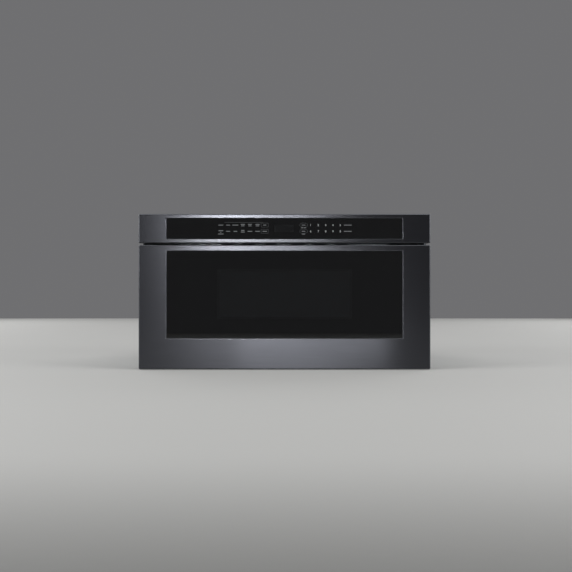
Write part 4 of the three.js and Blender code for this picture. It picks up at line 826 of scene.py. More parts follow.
def steady_normals(mesh: Mesh, level: float = 0.99995) -> None:
    """Sets corner normals in which each flat counts by its whole area.

    A flat then looks flat up to its rounded edge, however it is cut into triangles.

    Args:
        mesh: Mesh whose sharp edges are marked.
        level: Least cosine between the faces of one flat.
    """
    polygons, loops = mesh.polygons, mesh.loops
    sides: dict[int, list[int]] = {}
    owner = [0] * len(loops)
    for polygon in polygons:
        for corner in polygon.loop_indices:
            owner[corner] = polygon.index
            sides.setdefault(loops[corner].edge_index, []).append(corner)
    normals = [polygon.normal.copy() for polygon in polygons]
    flats, fans = Groups(len(polygons)), Groups(len(loops))
    for edge, corners in sides.items():
        if len(corners) != 2:
            continue
        first, second = (owner[corner] for corner in corners)
        if normals[first].dot(normals[second]) > level:
            flats.join(first, second)
        if mesh.edges[edge].use_edge_sharp:
            continue
        ends = [{loops[c].vertex_index: c for c in polygons[p].loop_indices} for p in (first, second)]
        for vertex in mesh.edges[edge].vertices:
            fans.join(ends[0][vertex], ends[1][vertex])
    areas: dict[int, float] = {}
    for polygon in polygons:
        flat = flats.top(polygon.index)
        areas[flat] = areas.get(flat, 0.0) + polygon.area
    sums: dict[int, Vector] = {}
    for corner, polygon in enumerate(owner):
        fan = fans.top(corner)
        sums.setdefault(fan, Vector())
        sums[fan] += normals[polygon] * areas[flats.top(polygon)]
    mesh.normals_split_custom_set([sums[fans.top(corner)].normalized() for corner in range(len(loops))])


def lay_grain(mesh: Mesh, square: float = 0.985) -> None:
    """Gives a mesh a map whose u runs across the brushing and v along it, and marks its rounded edges for the
    painted highlight.

    Args:
        mesh: Mesh in metres, as the map is.
        square: Least part of a normal along one axis on a face that counts as flat.
    """
    mesh.uv_layers.new(name=GRAIN)
    mesh.attributes.new(EDGE_HIGHLIGHT, "FLOAT", "CORNER")
    layer, edge_highlights = mesh.uv_layers[GRAIN], mesh.attributes[EDGE_HIGHLIGHT]
    for polygon in mesh.polygons:
        size = [abs(c) for c in polygon.normal]
        facing = size.index(max(size))
        for index in polygon.loop_indices:
            x, y, z = mesh.vertices[mesh.loops[index].vertex_index].co
            layer.data[index].uv = ((z, y), (z, x), (y, x))[facing]
            # Faces off the three axes get the painted edge highlight.
            edge_highlights.data[index].value = float(max(size) < square)


def evaluated(holder: Thing) -> Mesh:
    """Plain mesh of what an object's modifiers or curves make."""
    return bpy.data.meshes.new_from_object(holder.evaluated_get(bpy.context.evaluated_depsgraph_get()))


class Pattern:
    """A Geometry Nodes tree with named inputs that ends in Realize Instances and Set Material."""

    def __init__(self, name: str, inputs: dict[str, float | int]) -> None:
        """Starts the tree.

        Args:
            name: Name of the tree.
            inputs: Named inputs with their values. A float is a length and an int is a count or a seed.
        """
        self.tree = bpy.data.node_groups.new(name, "GeometryNodeTree")
        face = self.tree.interface
        for way in ("INPUT", "OUTPUT"):
            face.new_socket("Geometry", in_out=way, socket_type="NodeSocketGeometry")
        self.values: dict[str, float | int] = {}
        for label, value in inputs.items():
            kind = {int: "NodeSocketInt", float: "NodeSocketFloat"}[type(value)]
            self.values[face.new_socket(label, in_out="INPUT", socket_type=kind).identifier] = value
        self.source = self.node("NodeGroupInput").outputs

    def node(self, kind: str, inputs: Inputs | None = None, **settings: Any) -> Node:
        """Adds a node to the tree."""
        return add_node(self.tree, kind, inputs, **settings)

    def scatter(self, shape: Node, **inputs: Any) -> Node:
        """Puts a shape on each of the points that the tree starts from."""
        start = {"Points": self.source["Geometry"], "Instance": shape}
        return self.node("GeometryNodeInstanceOnPoints", start | inputs)

    def grow(
        self, name: str, shape: Node, finish: Finish, points: Sequence[Point], turns: Sequence[Point] = ()
    ) -> Mesh:
        """Ends the tree, runs it on a set of points and keeps the result as a plain mesh.

        Args:
            name: Name of the mesh.
            shape: Node of the geometry that the tree has made.
            finish: Finish that Set Material puts on.
            points: Points in millimetres that the tree starts from.
            turns: Euler angles of the points, which the tree reads by name.

        Returns:
            The mesh, in metres.
        """
        real = self.node("GeometryNodeRealizeInstances", {"Geometry": shape})
        dressed = self.node("GeometryNodeSetMaterial", {"Geometry": real, "Material": finish.material()})
        self.node("NodeGroupOutput", {"Geometry": dressed})
        seeds = bpy.data.meshes.new(name + "_points")
        seeds.from_pydata([tuple(METRE * c for c in p) for p in points], [], [])
        if turns:
            seeds.attributes.new(TURN, "FLOAT_VECTOR", "POINT")
            seeds.attributes[TURN].data.foreach_set("vector", [c for turn in turns for c in turn])
        holder = bpy.data.objects.new(name + "_points", seeds)
        bpy.context.scene.collection.objects.link(holder)
        modifier = holder.modifiers.new("pattern", "NODES")
        modifier.node_group = self.tree
        for identifier, value in self.values.items():
            modifier[identifier] = value
        mesh = evaluated(holder)
        mesh.name = name
        holder.modifiers.clear()
        bpy.data.objects.remove(holder)
        return mesh


def box_mm(node: str) -> tuple[Vector, Vector]:
    """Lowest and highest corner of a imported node, in millimetres."""
    low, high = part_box(node)
    return low / METRE, high / METRE


# ---------------------------------------------------------------- front


@dataclass
class FoldedSkin:
    """Brushed skin with rounded edges, folded walls and a bevelled opening for a glass."""

    node: str
    body: str
    half: float
    opening_half: float
    opening: Span
    wall: float = 1.25
    edge: float = 3.0
    edge_facets: int = 6
    corner: float = 3.5
    least_corner: float = 0.6
    rim: float = 0.4
    # Margin round the glass and depth behind the face, from the face down the bevel and behind the glass.
    bevel: tuple[Span, ...] = (
        (2.2, 0.0), (1.7, 0.0), (1.3, 0.12), (0.7, 1.3), (0.15, 1.9), (0.0, 3.0), (0.7, 3.05),
    )
    back_margin: float = 2.5
    glass_corner: float = 0.8
    short_wall: float = 0.0

    def outside(self, inset: float, y: float, lower_y: float | None = None) -> list[Point]:
        """Ring of the outside, drawn in by an inset.

        Args:
            inset: Distance inside the outer edge.
            y: Depth of the ring.
            lower_y: Depth of the lower wall's points, where that differs.

        Returns:
            Points of the ring.
        """
        low, high = (end.z for end in box_mm(self.node))
        corner = max(self.corner - inset, self.least_corner)
        points = ring(self.half - inset, low + inset, high - inset, corner, y)
        if lower_y is None:
            return points
        limit = low + self.corner + LEDGE / 2
        return [(x, lower_y if z < limit else y, z) for x, y, z in points]

    def hole(self, grow: float, y: float) -> list[Point]:
        """Ring of the glass opening, grown by a margin, at a depth."""
        low, high = self.opening
        return ring(self.opening_half + grow, low - grow, high + grow, self.glass_corner + grow / 2, y)

    def build(self) -> None:
        """Makes the skin in place of its node."""
        low, high = box_mm(self.node)
        front, back = low.y, high.y
        lower = front + self.short_wall if self.short_wall else None
        rings = [self.outside(0, back, lower), self.outside(0, front + self.edge + self.rim)]
        for facet in range(self.edge_facets + 1):
            angle = math.radians(90 * facet / self.edge_facets)
            inset, depth = 1 - math.cos(angle), 1 - math.sin(angle)
            rings.append(self.outside(self.edge * inset, front + self.edge * depth))
        rings.append(self.outside(self.edge + self.rim, front))
        bevel = (*self.bevel, (self.back_margin, self.wall))
        rings += [self.hole(grow, front + depth) for grow, depth in bevel]
        rings += [self.outside(self.edge, front + self.wall), self.outside(self.wall, front + self.edge)]
        rings.append(self.outside(self.wall, back, lower))
        skin = Form().loft(rings, closed=True)
        made = place_piece(self.node + "_skin", skin, BLACK_STAINLESS, self.body, [self.node])
        # The low edge of the short wall gets no painted highlight: painted shade.
        if self.short_wall:
            self.shade_low_edge(made.data, low.z + self.edge)

    @staticmethod
    def shade_low_edge(mesh: Mesh, limit: float) -> None:
        """Takes the painted highlight off the low edge, leaving it in painted shade.

        Args:
            mesh: Mesh of the skin, in metres.
            limit: Height in millimetres up to which the edge reaches.
        """
        edge_highlights = mesh.attributes[EDGE_HIGHLIGHT]
        for polygon in mesh.polygons:
            if polygon.center.z < limit * METRE:
                for index in polygon.loop_indices:
                    edge_highlights.data[index].value = 0.0


@dataclass
class Pane:
    """Tempered glass with ground edges and a black print on its back that leaves a window clear."""

    node: str
    body: str
    window_half: float
    window: Span
    window_at: float = 0.0
    edge: float = 0.6
    corner: float = 2.5
    window_corner: float = 1.5
    print_inset: float = 1.0
    print_gap: float = 0.03
    print_depth: float = 0.06

    def build(self) -> None:
        """Makes the glass and its print."""
        low, high = box_mm(self.node)

        def pane(inset: float, y: float) -> list[Point]:
            """Ring of the pane's edge."""
            return ring(high.x - inset, low.z + inset, high.z - inset, self.corner, y)

        def gap(y: float) -> list[Point]:
            """Ring of the clear window."""
            return ring(self.window_half, *self.window, self.window_corner, y, (self.window_at, 0.0))

        edge, behind = self.edge, high.y + self.print_gap
        back = behind + self.print_depth
        glass = [pane(edge, low.y), pane(0, low.y + edge), pane(0, high.y - edge), pane(edge, high.y)]
        ink = [pane(self.print_inset, behind), pane(self.print_inset, back), gap(back), gap(behind)]
        place_piece(self.node + "_pane", Form().loft(glass), TINTED_GLASS, self.body, [self.node], FLAT)
        place_piece(self.node + "_print", Form().loft(ink, closed=True), BLACK_PRINT, self.body, smooth=FLAT)


@dataclass
class PerforatedScreen:
    """Steel screen of the window: a field of holes too small for the microwaves, in a plain margin.

    The real holes are 1.2 mm on a 1.8 mm pitch and are drawn larger on a coarser pitch to show.
    """

    node: str = "door_screen"
    half: float = 172.0
    window: Span = (124.8, 245.7)
    pitch: float = 3.9
    hole: float = 1.4
    sides: int = 8
    corner: float = 6.0
    window_corner: float = 2.0
    lap: float = 0.06
    tile_weld: float = 0.02
    shell_weld: float = 0.001

    def build(self) -> None:
        """Makes the perforated field and the margin that is folded over its ragged edge."""
        low, high = box_mm(self.node)
        middle = Vector((0, high.y, (low.z + high.z) / 2))
        pattern = Pattern("perforated_sheet", {
            "Cell Radius": self.pitch / math.sqrt(3) * METRE,
            "Hole Radius": self.hole * METRE,
            "Hole Sides": self.sides,
            "Thickness": (high.y - low.y) * METRE,
        })
        node, source = pattern.node, pattern.source
        outlines = [
            node("GeometryNodeCurvePrimitiveCircle", {"Resolution": corners, "Radius": source[radius]})
            for corners, radius in ((HEXAGON, "Cell Radius"), (source["Hole Sides"], "Hole Radius"))
        ]
        tile = node("GeometryNodeFillCurve", {"Curve": node("GeometryNodeJoinGeometry", {0: outlines})})
        placed = pattern.scatter(tile, Rotation=(0, 0, math.pi / HEXAGON))
        tiles = node("GeometryNodeRealizeInstances", {"Geometry": placed})
        welded = {"Geometry": tiles, "Distance": self.tile_weld * METRE}
        sheet = node("GeometryNodeMergeByDistance", welded)
        thick = {"Mesh": sheet, "Offset Scale": source["Thickness"], "Individual": False}
        front = node("GeometryNodeExtrudeMesh", thick)
        shell = node("GeometryNodeJoinGeometry", {0: [front, node("GeometryNodeFlipFaces", {"Mesh": sheet})]})
        solid = node("GeometryNodeMergeByDistance", {"Geometry": shell, "Distance": self.shell_weld * METRE})
        mesh = pattern.grow("window_screen", solid, SCREEN_ENAMEL, self.centres(middle.z))
        mesh.transform(Matrix.Translation(middle * METRE) @ UPRIGHT)
        place_piece("window_screen", mesh, SCREEN_ENAMEL, "drawer")
        self.margin(low, high)

    def margin(self, low: Vector, high: Vector) -> None:
        """Makes the plain margin, which laps over the field's outermost holes on both sides.

        Args:
            low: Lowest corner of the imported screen.
            high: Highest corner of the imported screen.
        """
        outer = (high.x, low.z, high.z, self.corner)
        inner = (self.half, *self.window, self.window_corner)
        front, back = low.y - self.lap, high.y + self.lap
        rings = [ring(*outer, front), ring(*inner, front), ring(*inner, back), ring(*outer, back)]
        form = Form().loft(rings, closed=True)
        place_piece("screen_margin", form, BLACK_POWDER, "drawer", [self.node], FLAT)

    def centres(self, middle: float) -> list[Point]:
        """Hole centres, staggered, in the sheet's own plane.

        Args:
            middle: Height of the sheet's middle.

        Returns:
            Points with z as 0.
        """
        low, high = self.window
        step = self.pitch * math.sqrt(3) / 2
        rows = int((high - low) / step) + 1
        columns = int(2 * self.half / self.pitch)
        made = []
        for row in range(rows + 1):
            v = (low + high) / 2 - middle + step * (row - rows / 2)
            shift = self.pitch / 2 * (row % 2)
            made += [((i - columns / 2) * self.pitch + shift, v, 0.0) for i in range(columns + 1)]
        return made


@dataclass
class Legends:
    """Key legends of the control glass: bars in place of words, outlines, and the ten digits.

    Columns and rows count pixels of the front view, at a scale in millimetres. Widths are millimetres.
    """

    scale: float = 2.603
    centre: float = 284.4
    top: float = 393.8
    top_row: float = 214.0
    y: float = -76.78
    thick: float = 0.04
    line: float = 0.45
    bar_height: float = 1.4
    # Words on the two rows of keys. The upper row's middle keys have two lines.
    rows: Span = (225.1, 231.3)
    key_columns: tuple[float, ...] = (220.6, 228.0, 235.2, 242.6, 249.8, 257.4, 264.6)
    upper_words: tuple[float, ...] = (12.5, 10.0, 15.5, 10.5, 10.0, 11.0, 8.0)
    lower_words: tuple[float, ...] = (0.0, 10.0, 9.0, 0.0, 12.0, 12.0, 11.0)
    two_lined: range = range(3, 6)
    line_step: float = 0.75
    second_line: float = 0.8
    # Words of several lines on the lower row: key, rows below the key's middle, width and height.
    stacked: tuple[tuple[int, float, float, float], ...] = (
        (3, -0.9, 8.5, 1.4), (3, 0.75, 9.5, 1.4),
        (0, -0.6, 12.0, 1.4), (0, 0.95, 3.0, 1.2), (0, 2.7, 14.0, 1.4),
    )
    # The framed keys, the words right of the digits and the words beside the oval keys.
    box: Span = (19.0, 10.8)
    oval: Span = (21.0, 11.8)
    oval_column: float = 303.5
    oval_word: float = 9.0
    oval_facets: int = 32
    box_corner: float = 1.2
    side_words: tuple[Span, ...] = ((345.6, 8.5), (349.5, 11.0))
    oval_notes: tuple[tuple[float, ...], ...] = (
        (302.0, 227.8, 5.5), (304.9, 227.8, 5.5), (303.5, 234.1, 7.5),
    )
    rule: tuple[float, ...] = (243.5, 222.4, 100.0)
    # The digits: their columns, their height, its share of the font's size, and how bold they are.
    digits: tuple[str, str] = ("12345", "67890")
    digit_columns: tuple[float, ...] = (310.5, 318.2, 325.6, 332.9, 340.3)
    digit_height: float = 4.8
    digit_share: float = 0.7
    boldness: float = 0.06
    arc_steps: int = 4
    smooth: float = 10.0

    def at(self, column: float, row: float) -> Span:
        """Place in x and z of a column and row."""
        return (column - self.centre) * self.scale, self.top - (row - self.top_row) * self.scale

    def bar(self, form: Form, column: float, row: float, width: float, height: float | None = None) -> None:
        """Adds a bar that stands for a short word.

        Args:
            form: Form that gets the bar.
            column: Middle of the bar.
            row: Middle of the bar.
            width: Width in millimetres.
            height: Height in millimetres, where it isn't the usual one.
        """
        (x, z), tall = self.at(column, row), height or self.bar_height
        low = (x - width / 2, self.y, z - tall / 2)
        form.block(low, (x + width / 2, self.y + self.thick, z + tall / 2))

    def frame(self, form: Form, column: float, row: float, size: Span, oval: bool = False) -> None:
        """Adds a thin outline.

        Args:
            form: Form that gets the outline.
            column: Middle of the outline.
            row: Middle of the outline.
            size: Width and height in millimetres.
            oval: Draws an ellipse instead of a rounded rectangle.
        """
        x, z = self.at(column, row)

        def edge(inset: float, y: float) -> list[Point]:
            """Ring of one edge of the line.

            Args:
                inset: Distance inside the outline.
                y: Depth of the ring.

            Returns:
                Points of the ring.
            """
            a, b = size[0] / 2 - inset, size[1] / 2 - inset
            if oval:
                turns = [2 * math.pi * i / self.oval_facets for i in range(self.oval_facets)]
                return [(x + a * math.cos(t), y, z + b * math.sin(t)) for t in turns]
            return ring(a, -b, b, self.box_corner - inset / 2, y, (x, z))

        front, back, line = self.y, self.y + self.thick, self.line
        form.loft([edge(0, front), edge(line, front), edge(line, back), edge(0, back)], closed=True)

    def digit(self, form: Form, text: str, column: float, row: float) -> None:
        """Adds one digit.

        Args:
            form: Form that gets the digit.
            text: The digit.
            column: Middle of the digit.
            row: Middle of the digit.
        """
        curve = bpy.data.curves.new("digit", "FONT")
        curve.body = text
        curve.size = self.digit_height / self.digit_share
        curve.align_x = "CENTER"
        curve.extrude = self.thick / 2
        curve.resolution_u = self.arc_steps
        curve.offset = self.boldness
        holder = bpy.data.objects.new("digit", curve)
        bpy.context.scene.collection.objects.link(holder)
        mesh = evaluated(holder)
        x, z = self.at(column, row)
        place = Matrix.Translation((x, self.y + self.thick / 2, z - self.digit_height / 2))
        form.add(mesh, place @ UPRIGHT)
        bpy.data.meshes.remove(mesh)
        bpy.data.objects.remove(holder)
        bpy.data.curves.remove(curve)

    def words(self, bars: Form) -> None:
        """Adds the bars of the words on the two rows of keys.

        Args:
            bars: Form that gets the bars.
        """
        upper, lower = self.rows
        for key, (column, width) in enumerate(zip(self.key_columns, self.upper_words)):
            if key in self.two_lined:
                self.bar(bars, column, upper - self.line_step, width)
                self.bar(bars, column, upper + self.line_step, width * self.second_line)
            else:
                self.bar(bars, column, upper, width)
        for column, width in zip(self.key_columns, self.lower_words):
            if width:
                self.bar(bars, column, lower, width)
        for key, below, width, height in self.stacked:
            self.bar(bars, self.key_columns[key], lower + below, width, height)

    def build(self) -> None:
        """Makes the bright digits and the dimmer bars and outlines."""
        bars, lines, digits = Form(), Form(), Form()
        self.words(bars)
        for row in self.rows:
            self.frame(lines, self.key_columns[-1], row, self.box)
            self.frame(lines, self.oval_column, row, self.oval, oval=True)
            for column, width in ((self.oval_column, self.oval_word), *self.side_words):
                self.bar(bars, column, row, width)
        for note in self.oval_notes:
            self.bar(bars, *note)
        self.bar(lines, *self.rule, self.line)
        for row, texts in zip(self.rows, self.digits):
            for column, text in zip(self.digit_columns, texts):
                self.digit(digits, text, column, row)
        place_piece("key_bars", bars, WORD_PRINT, "chassis", smooth=self.smooth)
        place_piece("key_outlines", lines, DIM_LEGEND, "chassis", smooth=self.smooth)
        place_piece("key_digits", digits, LEGEND_PRINT, "chassis", smooth=self.smooth)


@dataclass
class Face:
    """Everything that is seen from the front: two skins, two glasses, screen and legends."""

    glass_half: float = 307.2
    door_opening: Span = (69.7, 297.4)
    control_opening: Span = (328.9, 382.4)
    short_wall: float = 24.0
    window_half: float = 176.0
    window: Span = (120.5, 250.0)
    display_half: float = 25.4
    display: Span = (346.7, 366.5)
    display_at: float = -1.2

    def build(self) -> None:
        """Builds the front from the outside in."""
        half, glass = box_mm("drawer_front")[1].x, self.glass_half
        FoldedSkin("drawer_front", "drawer", half, glass, self.door_opening).build()
        FoldedSkin(
            "control_trim", "chassis", half, glass, self.control_opening, short_wall=self.short_wall
        ).build()
        Pane("door_glass", "drawer", self.window_half, self.window).build()
        Pane("control_glass", "chassis", self.display_half, self.display, self.display_at).build()
        PerforatedScreen().build()
        Legends().build()


# ---------------------------------------------------------------- hardware


@dataclass
class Screws:
    """Hexagonal sheet screws with a washer flange and a dished head, one mesh for each body."""

    name: str
    body: str
    places: list[tuple[Point, Side]]
    flange: float = 4.6
    flange_depth: float = 1.8
    flange_sides: int = 20
    hexagon: float = 3.3
    height: float = 2.6
    chamfer: float = 0.3
    rim_scale: float = 0.86
    # Rise in millimetres and scale of each step from the hexagon's top to the floor of its dish.
    dish: tuple[Span, ...] = ((0.3, 0.84), (0.0, 0.62), (-1.2, 0.55))
    seed: int = 11

    def build(self) -> None:
        """Grows a screw on every place, each turned by its own angle."""
        pattern = Pattern(self.name, {
            "Flange Radius": self.flange * METRE,
            "Hexagon Radius": self.hexagon * METRE,
            "Head Height": self.height * METRE,
            "Seed": self.seed,
        })
        node, source = pattern.node, pattern.source
        depth = self.flange_depth * METRE
        disc = {"Vertices": self.flange_sides, "Radius": source["Flange Radius"], "Depth": depth}
        flange = node("GeometryNodeMeshCylinder", disc)
        rim, _ = self.narrow(pattern, flange, flange.outputs["Top"], self.chamfer, self.rim_scale)
        prism = {"Vertices": HEXAGON, "Radius": source["Hexagon Radius"], "Depth": source["Head Height"]}
        hexagon = node("GeometryNodeMeshCylinder", prism)
        lifted = {"Geometry": hexagon, "Translation": (0, 0, self.height * METRE / 2)}
        head, top = node("GeometryNodeTransform", lifted), hexagon.outputs["Top"]
        for rise, scale in self.dish:
            head, top = self.narrow(pattern, head, top, rise, scale)
        facing = node("GeometryNodeInputNamedAttribute", {"Name": TURN}, data_type="FLOAT_VECTOR")
        placed = pattern.scatter(node("GeometryNodeJoinGeometry", {0: [rim, head]}), Rotation=facing)
        full_turn = {"Min": (0, 0, 0), "Max": (0, 0, 2 * math.pi), "Seed": source["Seed"]}
        twist = node("FunctionNodeRandomValue", full_turn, data_type="FLOAT_VECTOR")
        turned = node("GeometryNodeRotateInstances", {"Instances": placed, "Rotation": twist})
        points, sides = zip(*self.places)
        mesh = pattern.grow(self.name, turned, SCREW_ZINC, points, [side.value for side in sides])
        place_piece(self.name, mesh, SCREW_ZINC, self.body)

    @staticmethod
    def narrow(pattern: Pattern, mesh: Node, top: Socket, rise: float, scale: float) -> tuple[Node, Socket]:
        """Raises a top face and shrinks it.

        Args:
            pattern: Tree that gets the nodes.
            mesh: Node of the mesh so far.
            top: Selection of its top face.
            rise: Distance that the face moves, in millimetres.
            scale: Scale of the moved face.

        Returns:
            The node of the new mesh and the selection of its top face.
        """
        moved = {"Mesh": mesh, "Selection": top, "Offset Scale": rise * METRE, "Individual": False}
        raised = pattern.node("GeometryNodeExtrudeMesh", moved)
        top = raised.outputs["Top"]
        shrunk = {"Geometry": raised, "Selection": top, "Scale": scale}
        return pattern.node("GeometryNodeScaleElements", shrunk), top


@dataclass
class VentHighlights:
    """Rolled beads in bright zinc at the right-hand end of each vent slot of the front frame. They stand only
    on that end, as a painted highlight of the light from the left.
    """

    height: float = 13.4
    radius: float = 1.15
    sides: int = 20
    short_slots: tuple[float, ...] = (-151.3, -94.3, -37.3, 37.3, 94.3, 151.3)
    short_half: float = 19.0
    long_slots: Span = (-322.0, 322.0)
    long_half: float = 48.5
    z: float = 318.0
    y: float = -32.1

    def build(self) -> None:
        """Grows a bright rounded bead, a painted highlight, on the right-hand end of every slot."""
        sizes = {"Bead Radius": self.radius * METRE, "Bead Length": self.height * METRE}
        pattern = Pattern("vent_end_highlights", sizes)
        source = pattern.source
        size = {"Vertices": self.sides, "Radius": source["Bead Radius"], "Depth": source["Bead Length"]}
        placed = pattern.scatter(pattern.node("GeometryNodeMeshCylinder", size))
        ends = [x + self.short_half for x in self.short_slots] + [x + self.long_half for x in self.long_slots]
        mesh = pattern.grow("vent_end_highlights", placed, SCREW_ZINC, [(x, self.y, self.z) for x in ends])
        place_piece("vent_end_highlights", mesh, SCREW_ZINC, "chassis")


@dataclass
class Hardware:
    """Screws of the chassis and the painted highlights of bright beads on the vent slots."""

    back_columns: tuple[float, ...] = (-340.0, -204.0, -68.0, 68.0, 204.0, 340.0)
    back_rows: Span = (360.0, 9.0)
    back_edge: float = 345.0
    heights: tuple[float, ...] = (90.0, 180.0, 270.0)
    side_columns: tuple[float, ...] = (30.0, 165.0, 300.0, 435.0, 560.0)
    side_rows: Span = (362.0, 8.0)
    top_edge: float = 330.0
    top_columns: tuple[float, ...] = (60.0, 240.0, 420.0)

    def build(self) -> None:
        """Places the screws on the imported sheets."""
        VentHighlights().build()
        back = box_mm("back_panel")[1].y
        right = box_mm("side_panel_right")[1].x
        top = box_mm("top_cover")[1].z
        edges = (-self.back_edge, self.back_edge)
        places = [((x, back, z), Side.BACK) for x in self.back_columns for z in self.back_rows]
        places += [((x, back, z), Side.BACK) for z in self.heights for x in edges]
        for hand, side in ((-1, Side.LEFT), (1, Side.RIGHT)):
            places += [((hand * right, y, z), side) for y in self.side_columns for z in self.side_rows]
            places += [((hand * right, self.side_columns[-1], z), side) for z in self.heights]
            places += [((hand * self.top_edge, y, top), Side.TOP) for y in self.top_columns]
        Screws("chassis_screws", "chassis", places).build()


# ---------------------------------------------------------------- stage


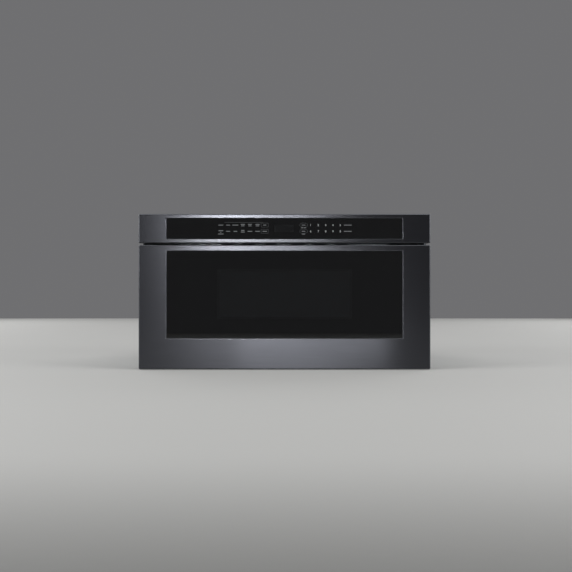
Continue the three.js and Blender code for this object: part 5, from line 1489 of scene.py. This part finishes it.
@dataclass
class Studio:
    """Pale floor, low plinth under the chassis, soft lamps and the camera."""

    # Pieces that the lamps of the front reach, where flags keep those lamps off the rest.
    front: tuple[str, ...] = (
        "drawer_front_skin", "control_trim_skin", "key_bars", "key_outlines", "key_digits", "vent_end_highlights",
    )
    # Middle, width and radiance of the lamps whose overlap fades the highlight at the top of the front.
    upper: tuple[tuple[float, ...], ...] = ((-0.25, 1.0, 42.0), (-0.45, 0.45, 66.0))
    upper_depth: float = -6.0
    upper_level: float = 0.88
    upper_height: float = 0.2
    # Width and radiance of the strips whose overlap fades the highlight in the band under the glass.
    lower: tuple[Span, ...] = ((0.54, 5.5), (0.4, 7.5), (0.26, 9.5), (0.14, 11.5))
    lower_place: Point = (0.1, -1.2, 0.035)
    lower_height: float = 0.08
    # Name, place, size and radiance of the lamps that light everything.
    soft: tuple[tuple[str, Point, Span, float], ...] = (
        ("top_lamp", (0.0, -0.6, 3.4), (3.4, 2.2), 1.5),
        ("left_lamp", (-5.5, -2.6, 2.1), (4.0, 3.8), 2.9),
        ("right_lamp", (5.5, -2.6, 2.1), (4.0, 3.8), 2.4),
        ("back_left_lamp", (-2.6, 3.4, 1.7), (2.6, 2.4), 1.5),
        ("back_right_lamp", (2.6, 3.4, 1.7), (2.6, 2.4), 1.5),
    )
    lamp_aim: Point = (0.0, 0.0, 0.2)
    air: tuple[float, float, float, float] = (0.16, 0.16, 0.165, 1)
    floor_low: Span = (-4500, -2300)
    floor_high: Span = (4500, 4500)
    floor_depth: float = 20.0
    floor_gap: float = 0.5
    plinth_inset: float = 4.0
    plinth_gap: float = 0.2
    lens: float = 70.0
    sensor: float = 36.0
    view_width: float = 1.489
    view_middle: Span = (0.0039, 0.2062)

    def slab(self, name: str, low: Point, high: Point) -> None:
        """Adds a painted block of the stage.

        Args:
            name: Name of the block.
            low: Lowest corner in millimetres.
            high: Highest corner in millimetres.
        """
        mesh = Form().block(low, high).in_metres(name)
        mesh.materials.append(PaintedFloor("painted_studio_floor", "white_plastic").material())
        made = bpy.data.objects.new(name, mesh)
        bpy.context.scene.collection.objects.link(made)

    def lamp(self, name: str, where: Point, size: Span, radiance: float, only: Sequence[str] = ()) -> None:
        """Adds a soft rectangular lamp that faces the piece.

        Args:
            name: Name of the lamp.
            where: Place in metres.
            size: Width and height in metres.
            radiance: Brightness of its face, where 1 is white.
            only: Pieces that it lights, where it doesn't light everything.
        """
        data = bpy.data.lights.new(name, "AREA")
        data.shape = "RECTANGLE"
        data.size, data.size_y = size
        data.energy = radiance * math.pi * size[0] * size[1]
        lamp = bpy.data.objects.new(name, data)
        lamp.location = where
        lamp.rotation_euler = (Vector(self.lamp_aim) - Vector(where)).to_track_quat("-Z", "Y").to_euler()
        lamp.visible_camera = False
        if only:
            lit = bpy.data.collections.new(name + "_lit")
            for piece in only:
                lit.objects.link(bpy.data.objects[piece])
            lamp.light_linking.receiver_collection = lit
        bpy.context.scene.collection.objects.link(lamp)

    def lamps(self) -> None:
        """Adds all lamps and the even light of the air."""
        for number, (x, width, radiance) in enumerate(self.upper):
            where, size = (x, self.upper_depth, self.upper_level), (width, self.upper_height)
            self.lamp(f"upper_lamp_{number}", where, size, radiance, self.front)
        for number, (width, radiance) in enumerate(self.lower):
            size = (width, self.lower_height)
            self.lamp(f"lower_lamp_{number}", self.lower_place, size, radiance, self.front[:1])
        for lamp in self.soft:
            self.lamp(*lamp)
        world = bpy.data.worlds.new("studio")
        world.use_nodes = True
        background = world.node_tree.nodes["Background"].inputs
        background["Color"].default_value, background["Strength"].default_value = self.air, 1.0
        bpy.context.scene.world = world

    def camera(self) -> None:
        """Adds the camera, square to the front."""
        scene = bpy.context.scene
        scene.view_settings.view_transform = "Standard"
        data = bpy.data.cameras.new("camera")
        data.lens, data.sensor_width = self.lens, self.sensor
        camera = bpy.data.objects.new("camera", data)
        x, z = self.view_middle
        camera.location = (x, CAD_BOX[0].y - self.view_width * self.lens / self.sensor, z)
        camera.rotation_euler = Euler((math.pi / 2, 0, 0))
        scene.collection.objects.link(camera)
        scene.camera = camera

    def build(self) -> None:
        """Builds the stage, the lamps and the camera."""
        bottom = CAD_BOX[0].z / METRE - self.floor_gap
        self.slab("floor", (*self.floor_low, bottom - self.floor_depth), (*self.floor_high, bottom))
        low, high = box_mm("base_pan")
        inset = self.plinth_inset
        plinth_high = (high.x - inset, high.y - inset, low.z - self.plinth_gap)
        self.slab("plinth", (low.x + inset, inset, bottom), plinth_high)
        self.lamps()
        self.camera()


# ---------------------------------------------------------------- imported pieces


@dataclass
class Carried:
    """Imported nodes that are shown: flat ones as they are, and rounded ones as smooth copies."""

    own: dict[str, Finish] = field(
        default_factory=lambda: {"front_frame": DARK_NICKEL, "display_module": DISPLAY_FILTER}
    )
    rounded: tuple[str, ...] = (
        "oven_cavity", "drawer_box", "choke_frame", "choke_cover", "oven_lamp", "magnetron", "stirrer",
        "stirrer_motor", "stirrer_cover", "hv_capacitor", "hv_transformer", "fan_housing", "fan_impeller",
        "fan_motor", "air_duct", "drive_motor", "motor_pinion", "final_gear", "cross_axle", "cord_gland",
        "door_back_plate",
    )
    rounded_pairs: tuple[str, ...] = (
        "pinion", "axle_bush", "latch_hook", "interlock_switches", "middle_rail", "inner_rail", "fixed_rail",
    )
    merge: float = 1e-6

    def build(self) -> None:
        """Dresses each node, and copies the rounded ones."""
        by_slot = {finish.slot: finish for finish in CARRIED}
        pairs = {f"{name}_{hand}" for name in self.rounded_pairs for hand in ("left", "right")}
        for name, node in frame["nodes"].items():
            slot = node.data.materials[0].name.split(".")[0]
            finish = self.own.get(name, by_slot[slot])
            node.material_slots[0].material = finish.material()
            if name in pairs.union(self.rounded):
                self.copy(name, node, finish)
            LOG.info("%s wears %s", name, finish.name)

    def copy(self, name: str, node: Thing, finish: Finish) -> None:
        """Makes a merged copy that stands for a node.

        Args:
            name: Name of the node.
            node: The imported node.
            finish: Finish of the copy.
        """
        merged = bmesh.new()
        merged.from_mesh(node.data)
        bmesh.ops.remove_doubles(merged, verts=merged.verts, dist=self.merge)
        mesh = bpy.data.meshes.new(name + "_body")
        merged.to_mesh(mesh)
        merged.free()
        place_piece(name + "_body", mesh, finish, body_of(node)[0], [name])


def main() -> None:
    """Builds the looks in order."""
    logging.basicConfig(level=logging.INFO, format="%(message)s")
    Carried().build()
    Face().build()
    Hardware().build()
    Studio().build()


if __name__ == "__main__":
    main()
